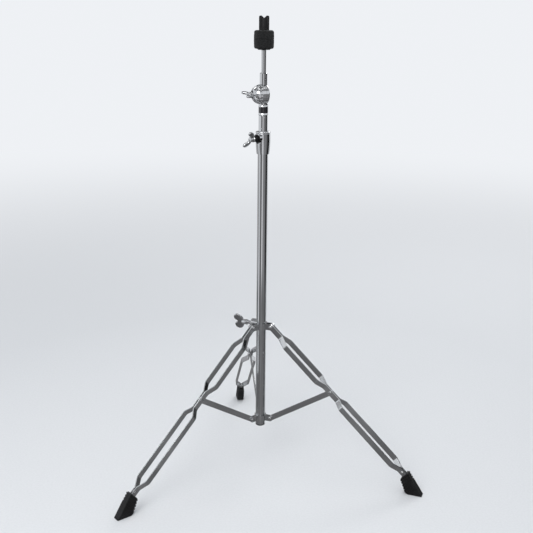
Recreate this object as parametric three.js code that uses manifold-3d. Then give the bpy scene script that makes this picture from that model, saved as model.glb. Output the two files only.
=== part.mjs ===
// Straight cymbal stand: a tripod of double-strip legs, a base tube, a middle tube that
// slides and swivels in it, and a ratchet tilter that carries the felt seat.
// Millimetres, +Z up, floor at z = 0.

import * as THREE from 'three';
import { mergeVertices } from 'three/addons/utils/BufferGeometryUtils.js';
import Module from 'manifold-3d';

const wasm = await Module();
wasm.setup();

// Driving dimensions of the whole stand
const seatGap = 0.3;
const baseTubeRadius = 11.1;
const middleTubeRadius = 9.525;
const tubeWall = 1.2;
const baseTubeLength = 666;
const clampHeight = 48.5;
const middleTubeShown = 33.3;
const middleTubeRoom = 120;
const tilterRise = 44.5;
const rodShoulderRise = 91.2;
const threadLength = 62;
const pivotRadius = 25;
const legAngle = 46.5;
const pinchDistance = 200;
const bracketDrop = 90.5;
const bootDistance = 446;
const bootHeight = 44;
const legNames = ['left', 'right', 'rear'];
const legAzimuths = [-60, 60, 180];

// Azimuths of the wing bolts, in degrees from the front (-Y) towards the right (+X)
const collarBoltAzimuth = -120;
const clampBoltAzimuth = -57;
const tiltAxisAzimuth = -78;
const rodScrewAzimuth = 18;
const tubePinAzimuth = 15;
const bracketPinAzimuth = 120;

// Shared stock sizes
const stripWidth = 12.7;
const stripThickness = 2.5;
const rivetRadius = 2.5;
const rivetHeadRadius = 4.4;
const rivetHeadHeight = 1.9;
const boltRadius = 4;
const boltHoleRadius = boltRadius + seatGap;

// Facet counts
const tubeSides = 28;
const boreSides = 20;
const pinSides = 10;
const curveSteps = 3;
const plateSegments = 5;

const degree = Math.PI / 180;
const overrun = 5;

// Heights, each from the one below it: boot, collar, pinch, bracket, tubes, tilter, rod
const legCos = Math.cos(legAngle * degree);
const legSin = Math.sin(legAngle * degree);
const bootRadius = pivotRadius + bootDistance * legSin;
const collarHeight = bootHeight + bootDistance * legCos;
const pinchRadius = pivotRadius + pinchDistance * legSin;
const pinchHeight = collarHeight - pinchDistance * legCos;
const strutSpan = pinchRadius - pivotRadius;
const strutLength = Math.hypot(strutSpan, bracketDrop);
const bracketHeight = pinchHeight - bracketDrop;
const tubeBelowBracket = 16.8;
const baseTubeBottom = bracketHeight - tubeBelowBracket;
const baseTubeTop = baseTubeBottom + baseTubeLength;
const bushingBottom = baseTubeTop + seatGap;
const bushingHeight = 17.4;
const clampRimHeight = 3;
const clampTop = bushingBottom + bushingHeight + seatGap + clampRimHeight;
const clampBottom = clampTop - clampHeight;
const middleTubeTop = clampTop + middleTubeShown;
const middleTubeBottom = baseTubeBottom + middleTubeRoom;
const tiltHeight = middleTubeTop + tilterRise;
const rodShoulderHeight = tiltHeight + rodShoulderRise;
const threadTop = rodShoulderHeight + threadLength;

// Finishes
const chrome = { color: 0xc9ccd0, roughness: 0.12, metalness: 1 };
const zincPlate = { color: 0xb4b6b8, roughness: 0.35, metalness: 1 };
const blackRubber = { color: 0x17181a, roughness: 0.75, metalness: 0 };
const blackNylon = { color: 0x0f1011, roughness: 0.45, metalness: 0 };
const blackPlastic = { color: 0x1d1e20, roughness: 0.5, metalness: 0 };
const whiteNylon = { color: 0xe4e2da, roughness: 0.5, metalness: 0 };
const labelPaint = { color: 0x101114, roughness: 0.3, metalness: 0 };
const charcoalFelt = { color: 0x2a2a2c, roughness: 0.95, metalness: 0 };

const unitX = new THREE.Vector3(1, 0, 0);
const unitY = new THREE.Vector3(0, 1, 0);
const unitZ = new THREE.Vector3(0, 0, 1);

// Turns a closed geometry into a solid that can be joined and cut
function solid(geometry) {
  const bare = geometry.clone();
  bare.deleteAttribute('normal');
  bare.deleteAttribute('uv');
  const merged = mergeVertices(bare);
  const index = merged.index.array;
  const triangles = [];
  for (let i = 0; i < index.length; i += 3) {
    const [a, b, c] = [index[i], index[i + 1], index[i + 2]];
    if (a !== b && b !== c && c !== a) triangles.push(a, b, c);
  }
  return new wasm.Manifold(new wasm.Mesh({
    numProp: 3,
    vertProperties: new Float32Array(merged.attributes.position.array),
    triVerts: new Uint32Array(triangles),
  }));
}

// Turns a solid back into a geometry
function geometryOf(body) {
  const mesh = body.getMesh();
  const geometry = new THREE.BufferGeometry();
  geometry.setAttribute('position', new THREE.BufferAttribute(new Float32Array(mesh.vertProperties), 3));
  geometry.setIndex(new THREE.BufferAttribute(new Uint32Array(mesh.triVerts), 1));
  geometry.computeVertexNormals();
  return geometry;
}

function joined(geometries) {
  return geometries.map(solid).reduce((sum, next) => sum.add(next));
}

function cut(body, geometries) {
  return geometries.reduce((rest, tool) => rest.subtract(solid(tool)), body);
}

// A profile of [radius, height] points turned about Z
function revolve(profile, sides = tubeSides) {
  const points = profile.map(([radius, height]) => new THREE.Vector2(radius, height));
  return new THREE.LatheGeometry(points, sides).rotateX(Math.PI / 2);
}

function cylinder(radius, from, to, sides = tubeSides) {
  return revolve([[0, from], [radius, from], [radius, to], [0, to]], sides);
}

function ring(inner, outer, from, to, sides = tubeSides) {
  return revolve([[inner, from], [outer, from], [outer, to], [inner, to], [inner, from]], sides);
}

// Points of an arc, as [radius, height] pairs for a profile
function arc(centreR, centreH, radius, from, to, steps = curveSteps) {
  return Array.from({ length: steps + 1 }, (_, i) => {
    const angle = (from + (to - from) * i / steps) * degree;
    return [centreR + radius * Math.cos(angle), centreH + radius * Math.sin(angle)];
  });
}

const alongX = geometry => geometry.rotateY(Math.PI / 2);
const alongY = geometry => geometry.rotateX(-Math.PI / 2);

// An outline drawn in X and Z, thickened along Y about the middle plane
function plateXZ(shape, thickness, middle = 0) {
  const options = { depth: thickness, bevelEnabled: false, curveSegments: plateSegments };
  return new THREE.ExtrudeGeometry(shape, options)
    .translate(0, 0, -thickness / 2)
    .rotateX(Math.PI / 2)
    .translate(0, middle, 0);
}

// An outline drawn in Y and Z, run along X between two stations
function runAlongX(shape, from, to) {
  const options = { depth: to - from, bevelEnabled: false, curveSegments: plateSegments };
  return new THREE.ExtrudeGeometry(shape, options)
    .applyMatrix4(new THREE.Matrix4().makeBasis(unitY, unitZ, unitX))
    .translate(from, 0, 0);
}

function box(x0, x1, y0, y1, z0, z1) {
  return new THREE.BoxGeometry(x1 - x0, y1 - y0, z1 - z0)
    .translate((x0 + x1) / 2, (y0 + y1) / 2, (z0 + z1) / 2);
}

const stand = new THREE.Group();

function piece(name, body, finish, parent = stand) {
  const geometry = body.isBufferGeometry ? body : geometryOf(body);
  const mesh = new THREE.Mesh(geometry, new THREE.MeshStandardMaterial(finish));
  mesh.name = name;
  parent.add(mesh);
  return mesh;
}

// A group whose +X looks out at an azimuth, at a height on the tube's axis
function outward(azimuth, height = 0) {
  const group = new THREE.Group();
  group.rotation.z = (azimuth - 90) * degree;
  group.position.z = height;
  stand.add(group);
  return group;
}

// Base tube and its end cap
const baseTubeInner = baseTubeRadius - tubeWall;
piece('base_tube', solid(ring(baseTubeInner, baseTubeRadius, baseTubeBottom, baseTubeTop)), chrome);

const endCapFlange = 2.6;
const endCapPlug = 14;
const endCapWall = 2;
const endCapPlugRadius = baseTubeInner - seatGap;
const endCapTop = baseTubeBottom - seatGap;
piece('base_tube_end_cap', solid(revolve([
  [0, endCapTop - endCapFlange],
  [baseTubeRadius - endCapFlange / 2, endCapTop - endCapFlange],
  [baseTubeRadius, endCapTop - endCapFlange / 2],
  [baseTubeRadius, endCapTop],
  [endCapPlugRadius, endCapTop],
  [endCapPlugRadius, endCapTop + endCapPlug],
  [endCapPlugRadius - endCapWall, endCapTop + endCapPlug],
  [endCapPlugRadius - endCapWall, endCapTop],
  [0, endCapTop],
], boreSides)), blackPlastic);

// Ears for a flat bar: a plate with a round end about the pivot, pierced for its rivet
function earOutline(rootX, halfHeight) {
  const shape = new THREE.Shape();
  shape.moveTo(rootX, -halfHeight);
  shape.lineTo(pivotRadius, -halfHeight);
  shape.absarc(pivotRadius, 0, halfHeight, -Math.PI / 2, Math.PI / 2);
  shape.lineTo(rootX, halfHeight);
  const hole = new THREE.Path();
  hole.absarc(pivotRadius, 0, rivetRadius + seatGap, 0, Math.PI * 2);
  shape.holes.push(hole);
  return shape;
}

function earPair(rootX, halfHeight, innerFace, thickness, azimuth) {
  const middle = innerFace + thickness / 2;
  return [-middle, middle].map(y => plateXZ(earOutline(rootX, halfHeight), thickness, y)
    .rotateZ((azimuth - 90) * degree));
}

// The profile of a domed rivet head that stands on a seat
const rivetHeadShares = [[1, 0], [0.85, 0.6], [0, 1]];
function rivetProfile(seat) {
  return rivetHeadShares.map(([r, h]) => [rivetHeadRadius * r, seat + rivetHeadHeight * h]);
}

// A rivet along Y, headed at both ends outside half the stack it holds
function rivet(halfStack) {
  const upper = rivetProfile(halfStack + seatGap);
  const lower = upper.map(([r, h]) => [r, -h]).reverse();
  return alongY(revolve([
    ...lower,
    [rivetRadius, -halfStack - seatGap],
    [rivetRadius, halfStack + seatGap],
    ...upper,
  ], pinSides));
}

// Lower bracket: a ring on the base tube with three pairs of ears for the struts
const bracketRingHalf = 7;
const bracketWall = 2.2;
const bracketEarThickness = 2;
const bracketEarInner = stripThickness / 2 + seatGap;
const bracketEarOuter = bracketEarInner + bracketEarThickness;
const bracketRingInner = baseTubeRadius + seatGap;
const bracketRingOuter = bracketRingInner + bracketWall;
const bracketEarRoot = bracketRingInner + bracketWall / 2;
const bracketPinRadius = 2;
const bracketPinLength = 5;
const bracketPinHead = 1.4;
const pinAcross = azimuth => geometry => alongX(geometry).rotateZ((azimuth - 90) * degree);

const bracket = joined([
  ring(bracketRingInner, bracketRingOuter, -bracketRingHalf, bracketRingHalf),
  ...legAzimuths.flatMap(azimuth => earPair(
    bracketEarRoot, bracketRingHalf - seatGap, bracketEarInner, bracketEarThickness, azimuth)),
]);
const bracketBore = cylinder(bracketRingInner, -bracketRingHalf - overrun, bracketRingHalf + overrun);
const bracketPinBore = pinAcross(bracketPinAzimuth)(
  cylinder(bracketPinRadius + seatGap, 0, bracketRingOuter + overrun, pinSides));
const bracketMesh = piece('lower_bracket', cut(bracket, [bracketBore, bracketPinBore]), chrome);
bracketMesh.position.z = bracketHeight;

// The pin's head bears on the ring; its shank stops short of the tube wall's inside
const bracketPinSeat = bracketRingOuter + seatGap;
const bracketPinTip = baseTubeRadius + seatGap;
const bracketPin = piece('bracket_pin', solid(pinAcross(bracketPinAzimuth)(revolve([
  [0, bracketPinTip],
  [bracketPinRadius, bracketPinTip],
  [bracketPinRadius, bracketPinSeat],
  [bracketPinRadius + bracketPinHead, bracketPinSeat],
  [bracketPinRadius, bracketPinSeat + bracketPinHead],
  [0, bracketPinSeat + bracketPinHead],
], pinSides))), zincPlate);
bracketPin.position.z = bracketHeight;

// Leg collar: a ring that slides on the base tube, with ears for the legs and a bolt boss
const collarRingHalf = 7.5;
const collarWall = 2.5;
const collarEarThickness = 2.3;
const collarEarHalf = 6.6;
const pivotBushHalf = 2;
const topStripOffset = pivotBushHalf + seatGap + stripThickness / 2;
const collarEarInner = topStripOffset + stripThickness / 2 + seatGap;
const collarEarOuter = collarEarInner + collarEarThickness;
const collarRingInner = baseTubeRadius + seatGap;
const collarRingOuter = collarRingInner + collarWall;
const collarBossRadius = 10.5;
const collarBossRise = 3.5;
const collarBossEnd = 24;
const collarBossRound = 3;
const padRadius = 5.6;
const padLength = 4;

const collarBossProfile = [
  [0, 0],
  [collarBossRadius, 0],
  ...arc(collarBossRadius - collarBossRound, collarBossEnd - collarBossRound, collarBossRound, 0, 90, 3),
  [0, collarBossEnd],
];
const collar = joined([
  ring(collarRingInner, collarRingOuter, -collarRingHalf, collarRingHalf),
  ...legAzimuths.flatMap(azimuth => earPair(
    collarRingInner + collarWall / 2, collarEarHalf, collarEarInner, collarEarThickness, azimuth)),
  pinAcross(collarBoltAzimuth)(revolve(collarBossProfile, boreSides)).translate(0, 0, collarBossRise),
]);
const collarBore = cylinder(collarRingInner, -collarBossEnd, collarBossEnd);
const collarBoltBore = pinAcross(collarBoltAzimuth)(
  cylinder(boltHoleRadius, 0, collarBossEnd + overrun, pinSides)).translate(0, 0, collarBossRise);
const padPocketEnd = collarRingInner + padLength + seatGap;
const collarPadPocket = pinAcross(collarBoltAzimuth)(
  cylinder(padRadius + seatGap, 0, padPocketEnd, pinSides)).translate(0, 0, collarBossRise);
const collarMesh = piece('leg_collar', cut(collar, [collarBore, collarBoltBore, collarPadPocket]), chrome);
collarMesh.position.z = collarHeight;

// Collar pad: a nylon disc between the bolt's tip and the tube, hollowed to fit the tube
const collarBoltGroup = outward(collarBoltAzimuth, collarHeight + collarBossRise);
piece('collar_pad', solid(alongX(cylinder(padRadius, 0, padPocketEnd - seatGap, pinSides)))
  .subtract(solid(cylinder(collarRingInner, -padRadius - overrun, padRadius + overrun))),
whiteNylon, collarBoltGroup);

// A wing bolt along +Z: shank below the bearing face, hub and two lobed wings above it
const hubFootRadius = 6.6;
const hubTopRadius = 5.2;
const hubRound = 1.4;
const wingReach = 20;
const wingThickness = 3.2;
const wingStartAngle = -75;
const smallWings = {
  hubHeight: 11, tipRadius: 5.2, tipHeight: 15.3, rootLow: 3.2, webTop: 9.6, webBend: 6.6, endAngle: 125,
};
const largeWings = {
  hubHeight: 14, tipRadius: 9.2, tipHeight: 21.7, rootLow: 8, webTop: 24.5, webBend: 2.6, endAngle: 150,
};

function wingBolt(shankLength, spin, wings = smallWings) {
  const { hubHeight, tipRadius, tipHeight, rootLow, webTop, webBend, endAngle } = wings;
  const core = revolve([
    [0, -shankLength],
    [boltRadius, -shankLength],
    [boltRadius, 0],
    [hubFootRadius, 0],
    [hubTopRadius, hubHeight - hubRound],
    [hubTopRadius - hubRound, hubHeight],
    [0, hubHeight],
  ], pinSides);
  const wing = new THREE.Shape();
  const tipX = wingReach - tipRadius;
  const wingRoot = -hubTopRadius / 2;
  wing.moveTo(wingRoot, rootLow);
  wing.lineTo(hubFootRadius, rootLow);
  wing.quadraticCurveTo(tipX, rootLow,
    tipX + tipRadius * Math.cos(wingStartAngle * degree),
    tipHeight + tipRadius * Math.sin(wingStartAngle * degree));
  wing.absarc(tipX, tipHeight, tipRadius, wingStartAngle * degree, endAngle * degree);
  wing.quadraticCurveTo(webBend, webTop, hubTopRadius / 2, webTop);
  wing.lineTo(wingRoot, webTop);
  const pair = [0, Math.PI].map(turn => plateXZ(wing, wingThickness).rotateZ(turn));
  return joined([core, ...pair]).rotate([0, 0, spin]).rotate([0, 90, 0]);
}

const collarBoltSpin = -23;
const collarBoltTip = padPocketEnd;
const collarBoltStem = 9.5;
const collarBoltSeat = collarBossEnd + collarBoltStem;
const collarBolt = piece('collar_wing_bolt',
  wingBolt(collarBoltSeat - collarBoltTip, collarBoltSpin, largeWings), chrome, collarBoltGroup);
collarBolt.position.x = collarBoltSeat;

// Tripod: each leg is two flat strips, bent apart between collar, strut and foot
const pinchOffset = stripThickness / 2 + seatGap + stripThickness / 2;
const spreadOffset = 16.5;
const footStripOffset = pinchOffset;
const stripTopEnd = 7;
const topBendStart = 33;
const topBendEnd = 55;
const upperBendStart = 160;
const upperBendEnd = 181;
const lowerBendStart = 224;
const lowerBendEnd = 241;
const footBendBelow = 37;
const footBendAbove = 16;
const footBendStart = bootDistance - footBendBelow;
const footBendEnd = bootDistance - footBendAbove;
const stripInsertion = 16;
const bendRound = 3;

// The strip's middle line in the plane of its bends: distance along the leg, offset
const stripLine = [
  [-stripTopEnd, topStripOffset],
  [topBendStart, topStripOffset],
  [topBendEnd, spreadOffset],
  [upperBendStart, spreadOffset],
  [upperBendEnd, pinchOffset],
  [lowerBendStart, pinchOffset],
  [lowerBendEnd, spreadOffset],
  [footBendStart, spreadOffset],
  [footBendEnd, footStripOffset],
  [bootDistance + stripInsertion, footStripOffset],
];

// Rounds the corners of a line, then thickens it by half the strip to each side
function stripOutline(side) {
  const line = stripLine.map(([s, t]) => new THREE.Vector2(s, side * t));
  const path = [line[0]];
  for (let i = 1; i < line.length - 1; i += 1) {
    const before = line[i - 1].clone().sub(line[i]).normalize().multiplyScalar(bendRound).add(line[i]);
    const after = line[i + 1].clone().sub(line[i]).normalize().multiplyScalar(bendRound).add(line[i]);
    path.push(...new THREE.QuadraticBezierCurve(before, line[i], after).getPoints(1));
  }
  path.push(line[line.length - 1]);
  const edge = offset => path.map((point, i) => {
    const ahead = path[Math.min(i + 1, path.length - 1)];
    const behind = path[Math.max(i - 1, 0)];
    const along = ahead.clone().sub(behind).normalize();
    return new THREE.Vector2(point.x - along.y * offset, point.y + along.x * offset);
  });
  return new THREE.Shape([...edge(-stripThickness / 2), ...edge(stripThickness / 2).reverse()]);
}

const footRivetDistance = bootDistance - 6;
const stripEnd = bootDistance + stripInsertion;
function stripSide() {
  const half = stripWidth / 2;
  const shape = new THREE.Shape();
  shape.moveTo(0, -half);
  shape.lineTo(stripEnd + overrun, -half);
  shape.lineTo(stripEnd + overrun, half);
  shape.lineTo(0, half);
  shape.absarc(0, 0, half, Math.PI / 2, Math.PI * 3 / 2);
  [0, pinchDistance, footRivetDistance].forEach(s => {
    const hole = new THREE.Path();
    hole.absarc(s, 0, rivetRadius + seatGap, 0, Math.PI * 2);
    shape.holes.push(hole);
  });
  return shape;
}

const stripSolids = [-1, 1].map(side => {
  const bent = new THREE.ExtrudeGeometry(stripOutline(side), { depth: stripWidth, bevelEnabled: false });
  const flat = plateXZ(stripSide(), (spreadOffset + stripThickness) * 2);
  return solid(bent.translate(0, 0, -stripWidth / 2)).intersect(solid(flat));
});

// Pivot bush: a spacer between the strips with short ends that fill their holes
const pivotBushRadius = 5;
const pivotBushEnd = topStripOffset + stripThickness / 2 - seatGap / 2;
const pivotBush = solid(alongY(revolve([
  [0, -pivotBushEnd],
  [rivetRadius, -pivotBushEnd],
  [rivetRadius, -pivotBushHalf],
  [pivotBushRadius, -pivotBushHalf],
  [pivotBushRadius, pivotBushHalf],
  [rivetRadius, pivotBushHalf],
  [rivetRadius, pivotBushEnd],
  [0, pivotBushEnd],
], pinSides)));

// Foot rivet: as the pinch rivet, with a spacer between the strips
const footSpacerHalf = footStripOffset - stripThickness / 2 - seatGap;
const footSpacerRadius = 5;
const footRivet = solid(rivet(footStripOffset + stripThickness / 2))
  .add(solid(alongY(cylinder(footSpacerRadius, -footSpacerHalf, footSpacerHalf, pinSides))));

const pinchRivet = solid(rivet(pinchOffset + stripThickness / 2));
const bracketRivet = solid(rivet(bracketEarOuter));

// Collar rivets: a stub and head in each ear, with the strips free to run between them
const collarRivetHead = rivetProfile(collarEarOuter + seatGap);
const collarStub = alongY(revolve([
  [0, collarEarInner],
  [rivetRadius, collarEarInner],
  [rivetRadius, collarEarOuter + seatGap],
  ...collarRivetHead,
], pinSides));
const collarRivets = [Math.PI, 0].map(turn => solid(collarStub.clone().rotateZ(turn)));

// Strut: a flat bar with round ends and two rivet holes
function strutOutline() {
  const half = stripWidth / 2;
  const shape = new THREE.Shape();
  shape.moveTo(0, -half);
  shape.lineTo(strutLength, -half);
  shape.absarc(strutLength, 0, half, -Math.PI / 2, Math.PI / 2);
  shape.lineTo(0, half);
  shape.absarc(0, 0, half, Math.PI / 2, Math.PI * 3 / 2);
  [0, strutLength].forEach(s => {
    const hole = new THREE.Path();
    hole.absarc(s, 0, rivetRadius + seatGap, 0, Math.PI * 2);
    shape.holes.push(hole);
  });
  return shape;
}
const strut = solid(plateXZ(strutOutline(), stripThickness));

// Rubber foot: a boot over the strips' ends, ribbed across, flat under, flared to the toe
const bootOuter = 12;
const bootInner = 13;
const bootWidth = 19;
const bootRibDepth = 0.9;
const bootRibPitch = 6;
const bootRibWidth = 2.6;
const bootFaceThickness = 5;
const soleThickness = 6;
const toeReach = 43;
const heelReach = 5;
const heelRound = 7;

// The boot's outline in radius and height, from the top outer corner round by the toe
function bootOutline(shrink = 0) {
  const outer = bootOuter - shrink;
  const inner = bootInner - shrink;
  const shape = new THREE.Shape();
  shape.moveTo(bootRadius + outer * legCos, bootHeight + outer * legSin);
  shape.lineTo(bootRadius - inner * legCos, bootHeight - inner * legSin);
  shape.lineTo(bootRadius + heelReach - heelRound / 2 + shrink, heelRound);
  shape.quadraticCurveTo(bootRadius + heelReach + shrink, 0, bootRadius + heelReach + heelRound, 0);
  shape.lineTo(bootRadius + toeReach - shrink, 0);
  return shape;
}

// Slabs square to the leg, one for each rib, and one along the smooth outer face
function bootRibs() {
  const slabs = [];
  const reach = bootOuter + bootInner + toeReach;
  const first = bootRibWidth / 2;
  for (let s = first; s < reach; s += bootRibPitch) {
    slabs.push(box(s - bootRibWidth / 2, s + bootRibWidth / 2, -bootWidth, bootWidth, -reach, reach));
  }
  const turned = slabs.map(slab => slab
    .rotateY((90 - legAngle) * degree)
    .translate(bootRadius, 0, bootHeight));
  const faceShape = new THREE.Shape();
  const topR = bootRadius + bootOuter * legCos;
  const topH = bootHeight + bootOuter * legSin;
  faceShape.moveTo(topR + overrun, topH);
  faceShape.lineTo(topR - bootFaceThickness, topH);
  faceShape.lineTo(bootRadius + toeReach - bootFaceThickness, 0);
  faceShape.lineTo(bootRadius + toeReach + overrun, 0);
  const sole = box(bootRadius - reach, bootRadius + reach, -bootWidth, bootWidth, 0, soleThickness);
  return joined([...turned, plateXZ(faceShape, bootWidth * 2), sole]);
}

const bootPocketHalf = stripWidth / 2 + seatGap;
const bootPocket = box(-overrun, stripInsertion + seatGap,
  -(footStripOffset + stripThickness / 2 + seatGap), footStripOffset + stripThickness / 2 + seatGap,
  -bootPocketHalf, bootPocketHalf)
  .rotateY((90 - legAngle) * degree)
  .translate(bootRadius, 0, bootHeight);
const bootCore = solid(plateXZ(bootOutline(bootRibDepth), bootWidth - bootRibDepth * 2));
const bootSkin = solid(plateXZ(bootOutline(), bootWidth)).intersect(bootRibs());
const boot = bootCore.add(bootSkin).subtract(solid(bootPocket));

legNames.forEach((name, i) => {
  const side = outward(legAzimuths[i]);
  const leg = new THREE.Group();
  leg.position.set(pivotRadius, 0, collarHeight);
  leg.rotation.y = (90 - legAngle) * degree;
  side.add(leg);
  piece(`${name}_leg_strip_a`, stripSolids[0], chrome, leg);
  piece(`${name}_leg_strip_b`, stripSolids[1], chrome, leg);
  piece(`${name}_pivot_bush`, pivotBush, zincPlate, leg);
  piece(`${name}_pinch_rivet`, pinchRivet, chrome, leg).position.x = pinchDistance;
  piece(`${name}_foot_rivet`, footRivet, chrome, leg).position.x = footRivetDistance;
  piece(`${name}_rubber_foot`, boot, blackRubber, side);
  const atCollar = [pivotRadius, 0, collarHeight];
  piece(`${name}_collar_rivet_a`, collarRivets[0], chrome, side).position.set(...atCollar);
  piece(`${name}_collar_rivet_b`, collarRivets[1], chrome, side).position.set(...atCollar);
  piece(`${name}_bracket_rivet`, bracketRivet, chrome, side).position.set(pivotRadius, 0, bracketHeight);
  const bar = piece(`${name}_strut`, strut, chrome, side);
  bar.position.set(pivotRadius, 0, bracketHeight);
  bar.rotation.y = -Math.atan2(pinchHeight - bracketHeight, strutSpan);
});

// Tube clamp: a barrel-shaped shell on the base tube's top, with a beaded rim and a hood
const clampFootRadius = 13.6;
const clampBellyRadius = 15.6;
const clampBeadRadius = 2.6;
const clampBeadOut = 15.9;
const clampGrooveRadius = 14.7;
const clampRimInner = middleTubeRadius + seatGap + seatGap;
const clampInner = baseTubeRadius + seatGap;
const clampBoltDrop = 15;
const clampBoltHeight = clampTop - clampBoltDrop;
const hoodOuter = 10.8;
const hoodWall = 1.6;
const hoodSkirt = 2;
const hoodEnd = 17.4;
const lugRadius = hoodOuter - hoodWall - seatGap;
const barrelSteps = 4;

const clampBarrel = Array.from({ length: barrelSteps + 1 }, (_, i) => {
  const share = i / barrelSteps;
  const rise = clampHeight - clampBeadRadius * 2 - seatGap;
  return [
    clampFootRadius + (clampBellyRadius - clampFootRadius) * Math.sin(share * Math.PI * 0.7) /
      Math.sin(Math.PI * 0.5),
    clampBottom + rise * share,
  ];
});
const clampBeadCentre = clampTop - clampBeadRadius;
const clampShell = revolve([
  [clampInner, clampBottom],
  ...clampBarrel,
  [clampGrooveRadius, clampTop - clampBeadRadius * 2],
  ...arc(clampBeadOut - clampBeadRadius, clampBeadCentre, clampBeadRadius, -60, 90),
  [clampRimInner, clampTop],
  [clampRimInner, clampTop - clampRimHeight],
  [clampInner, clampTop - clampRimHeight],
  [clampInner, clampBottom],
]);

function archOutline(radius, skirt) {
  const shape = new THREE.Shape();
  shape.moveTo(-radius, -skirt);
  shape.lineTo(radius, -skirt);
  shape.absarc(0, 0, radius, 0, Math.PI);
  return shape;
}
const hood = runAlongX(archOutline(hoodOuter, hoodSkirt), clampInner, hoodEnd)
  .translate(0, 0, clampBoltHeight);
const hoodHollow = runAlongX(archOutline(hoodOuter - hoodWall, hoodOuter), clampInner - overrun,
  hoodEnd + overrun).translate(0, 0, clampBoltHeight);
const clampClear = cylinder(clampInner, clampBottom - overrun, clampTop - clampRimHeight);
const clampGroup = outward(clampBoltAzimuth);
piece('tube_clamp', solid(clampShell).add(solid(hood).subtract(solid(clampClear)))
  .subtract(solid(hoodHollow)), chrome, clampGroup);

// Clamp bushing: a nylon sleeve round the middle tube, with a lug that fills the hood
const bushingInner = middleTubeRadius + seatGap;
const bushingOuter = clampInner - seatGap;
const lugEnd = hoodEnd - seatGap;
const boltTipGap = 1;
const clampBoltTip = bushingInner + boltTipGap;
const clampNutHalf = 6.5;
const clampNutDepth = 5;
const clampNutBoss = 6;
const clampBossEnd = 27.2;
const nutSides = 6;
const hexRadius = half => half / Math.cos(Math.PI / nutSides);
const clampNutPlace = lugEnd - clampNutDepth;

const lug = alongX(cylinder(lugRadius, clampRimInner, lugEnd, boreSides))
  .translate(0, 0, clampBoltHeight);
const clampBoltBore = alongX(cylinder(boltHoleRadius, clampBoltTip, lugEnd + overrun, pinSides))
  .translate(0, 0, clampBoltHeight);
const nutPocket = alongX(cylinder(hexRadius(clampNutHalf + seatGap),
  clampNutPlace - seatGap, lugEnd + overrun, nutSides))
  .translate(0, 0, clampBoltHeight);
piece('clamp_bushing', cut(joined([
  ring(bushingInner, bushingOuter, bushingBottom, bushingBottom + bushingHeight),
  lug,
]), [
  cylinder(bushingInner, bushingBottom - overrun, clampTop),
  cylinder(clampInner, clampBottom, bushingBottom),
  clampBoltBore,
  nutPocket,
]), blackNylon, clampGroup);

// Clamp nut: a hexagon held in the lug, with a round boss that the wing bolt's hub meets
const clampNut = piece('clamp_nut', cut(joined([
  alongX(cylinder(hexRadius(clampNutHalf), clampNutPlace, lugEnd, nutSides)),
  alongX(cylinder(clampNutBoss, clampNutPlace, clampBossEnd, pinSides)),
]), [
  alongX(cylinder(boltHoleRadius, 0, clampBossEnd + overrun, pinSides)),
]), blackNylon, clampGroup);
clampNut.position.z = clampBoltHeight;

const clampBoltSpin = -35;
const clampBoltSeat = clampBossEnd + seatGap;
const clampBolt = piece('clamp_wing_bolt',
  wingBolt(clampBoltSeat - clampBoltTip - seatGap, clampBoltSpin), chrome, clampGroup);
clampBolt.position.set(clampBoltSeat, 0, clampBoltHeight);

// Middle tube, its end plug and the pin that holds the tilter's spigot
const middleTubeInner = middleTubeRadius - tubeWall;
const tubePinDrop = 5.3;
const tubePinHeight = middleTubeTop - tubePinDrop;
const tubePinRadius = 1.6;
const tubePinProud = 0.4;
const tubePinTip = 3;
const tubePinBore = pinAcross(tubePinAzimuth)(
  cylinder(tubePinRadius + seatGap, tubePinTip - seatGap, middleTubeRadius + overrun, pinSides))
  .translate(0, 0, tubePinHeight);
piece('middle_tube', cut(
  solid(ring(middleTubeInner, middleTubeRadius, middleTubeBottom, middleTubeTop)),
  [tubePinBore],
), chrome);

const plugFlange = 4;
const plugLength = 16;
const plugRadius = middleTubeInner - seatGap;
const plugFlangeRadius = baseTubeInner - seatGap;
const plugTop = middleTubeBottom - seatGap;
const plugChamfer = 0.8;
piece('middle_tube_end_plug', solid(revolve([
  [0, plugTop - plugFlange],
  [plugFlangeRadius - plugChamfer, plugTop - plugFlange],
  [plugFlangeRadius, plugTop - plugFlange + plugChamfer],
  [plugFlangeRadius, plugTop],
  [plugRadius, plugTop],
  [plugRadius, plugTop + plugLength - plugChamfer],
  [plugRadius - plugChamfer, plugTop + plugLength],
  [0, plugTop + plugLength],
], boreSides)), whiteNylon);

piece('tube_pin', solid(pinAcross(tubePinAzimuth)(
  cylinder(tubePinRadius, tubePinTip, middleTubeRadius + tubePinProud, pinSides))
  .translate(0, 0, tubePinHeight)), zincPlate);

// Tilter: two halves that meet on a plane through the tube's axis, with radial teeth
const tilterRadius = 20.5;
const seamHalf = seatGap / 2;
const domeCentre = 7;
const domeEndAngle = 62;
const tilterBoltSeat = 21.3;
const boltRecessRadius = 9;
const boltRecessLip = 25.4;
const farThickness = 8.2;
const farRound = 4.5;
const toothInner = 8.6;
const toothOuter = 17.4;
const toothDepth = 0.9;
const toothCount = 16;
const springPocketRadius = 7;
const springPocketDepth = 4;
const fluteDepth = 1.1;
const domeSteps = 5;
const neckRadius = 7.9;
const neckTop = 44.5;
const neckChamfer = 1;
const socketRadius = 10.4;
const socketBottom = middleTubeTop + seatGap - tiltHeight;
const labelRise = 4.9;
const labelHeight = 12.7;
const labelBottom = socketBottom + labelRise;
const labelTop = labelBottom + labelHeight;
const labelDepth = 0.8;
const socketRound = 1.2;
const spigotRadius = middleTubeInner - seatGap;
const spigotLength = 25;
const rodRadius = 5;
const rodSeat = 25;
const swingClearance = 0.6;

const tilterGroup = outward(tiltAxisAzimuth, tiltHeight);
const swingPath = (from, to) => alongX(cylinder(tilterRadius + swingClearance, from, to));

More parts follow.
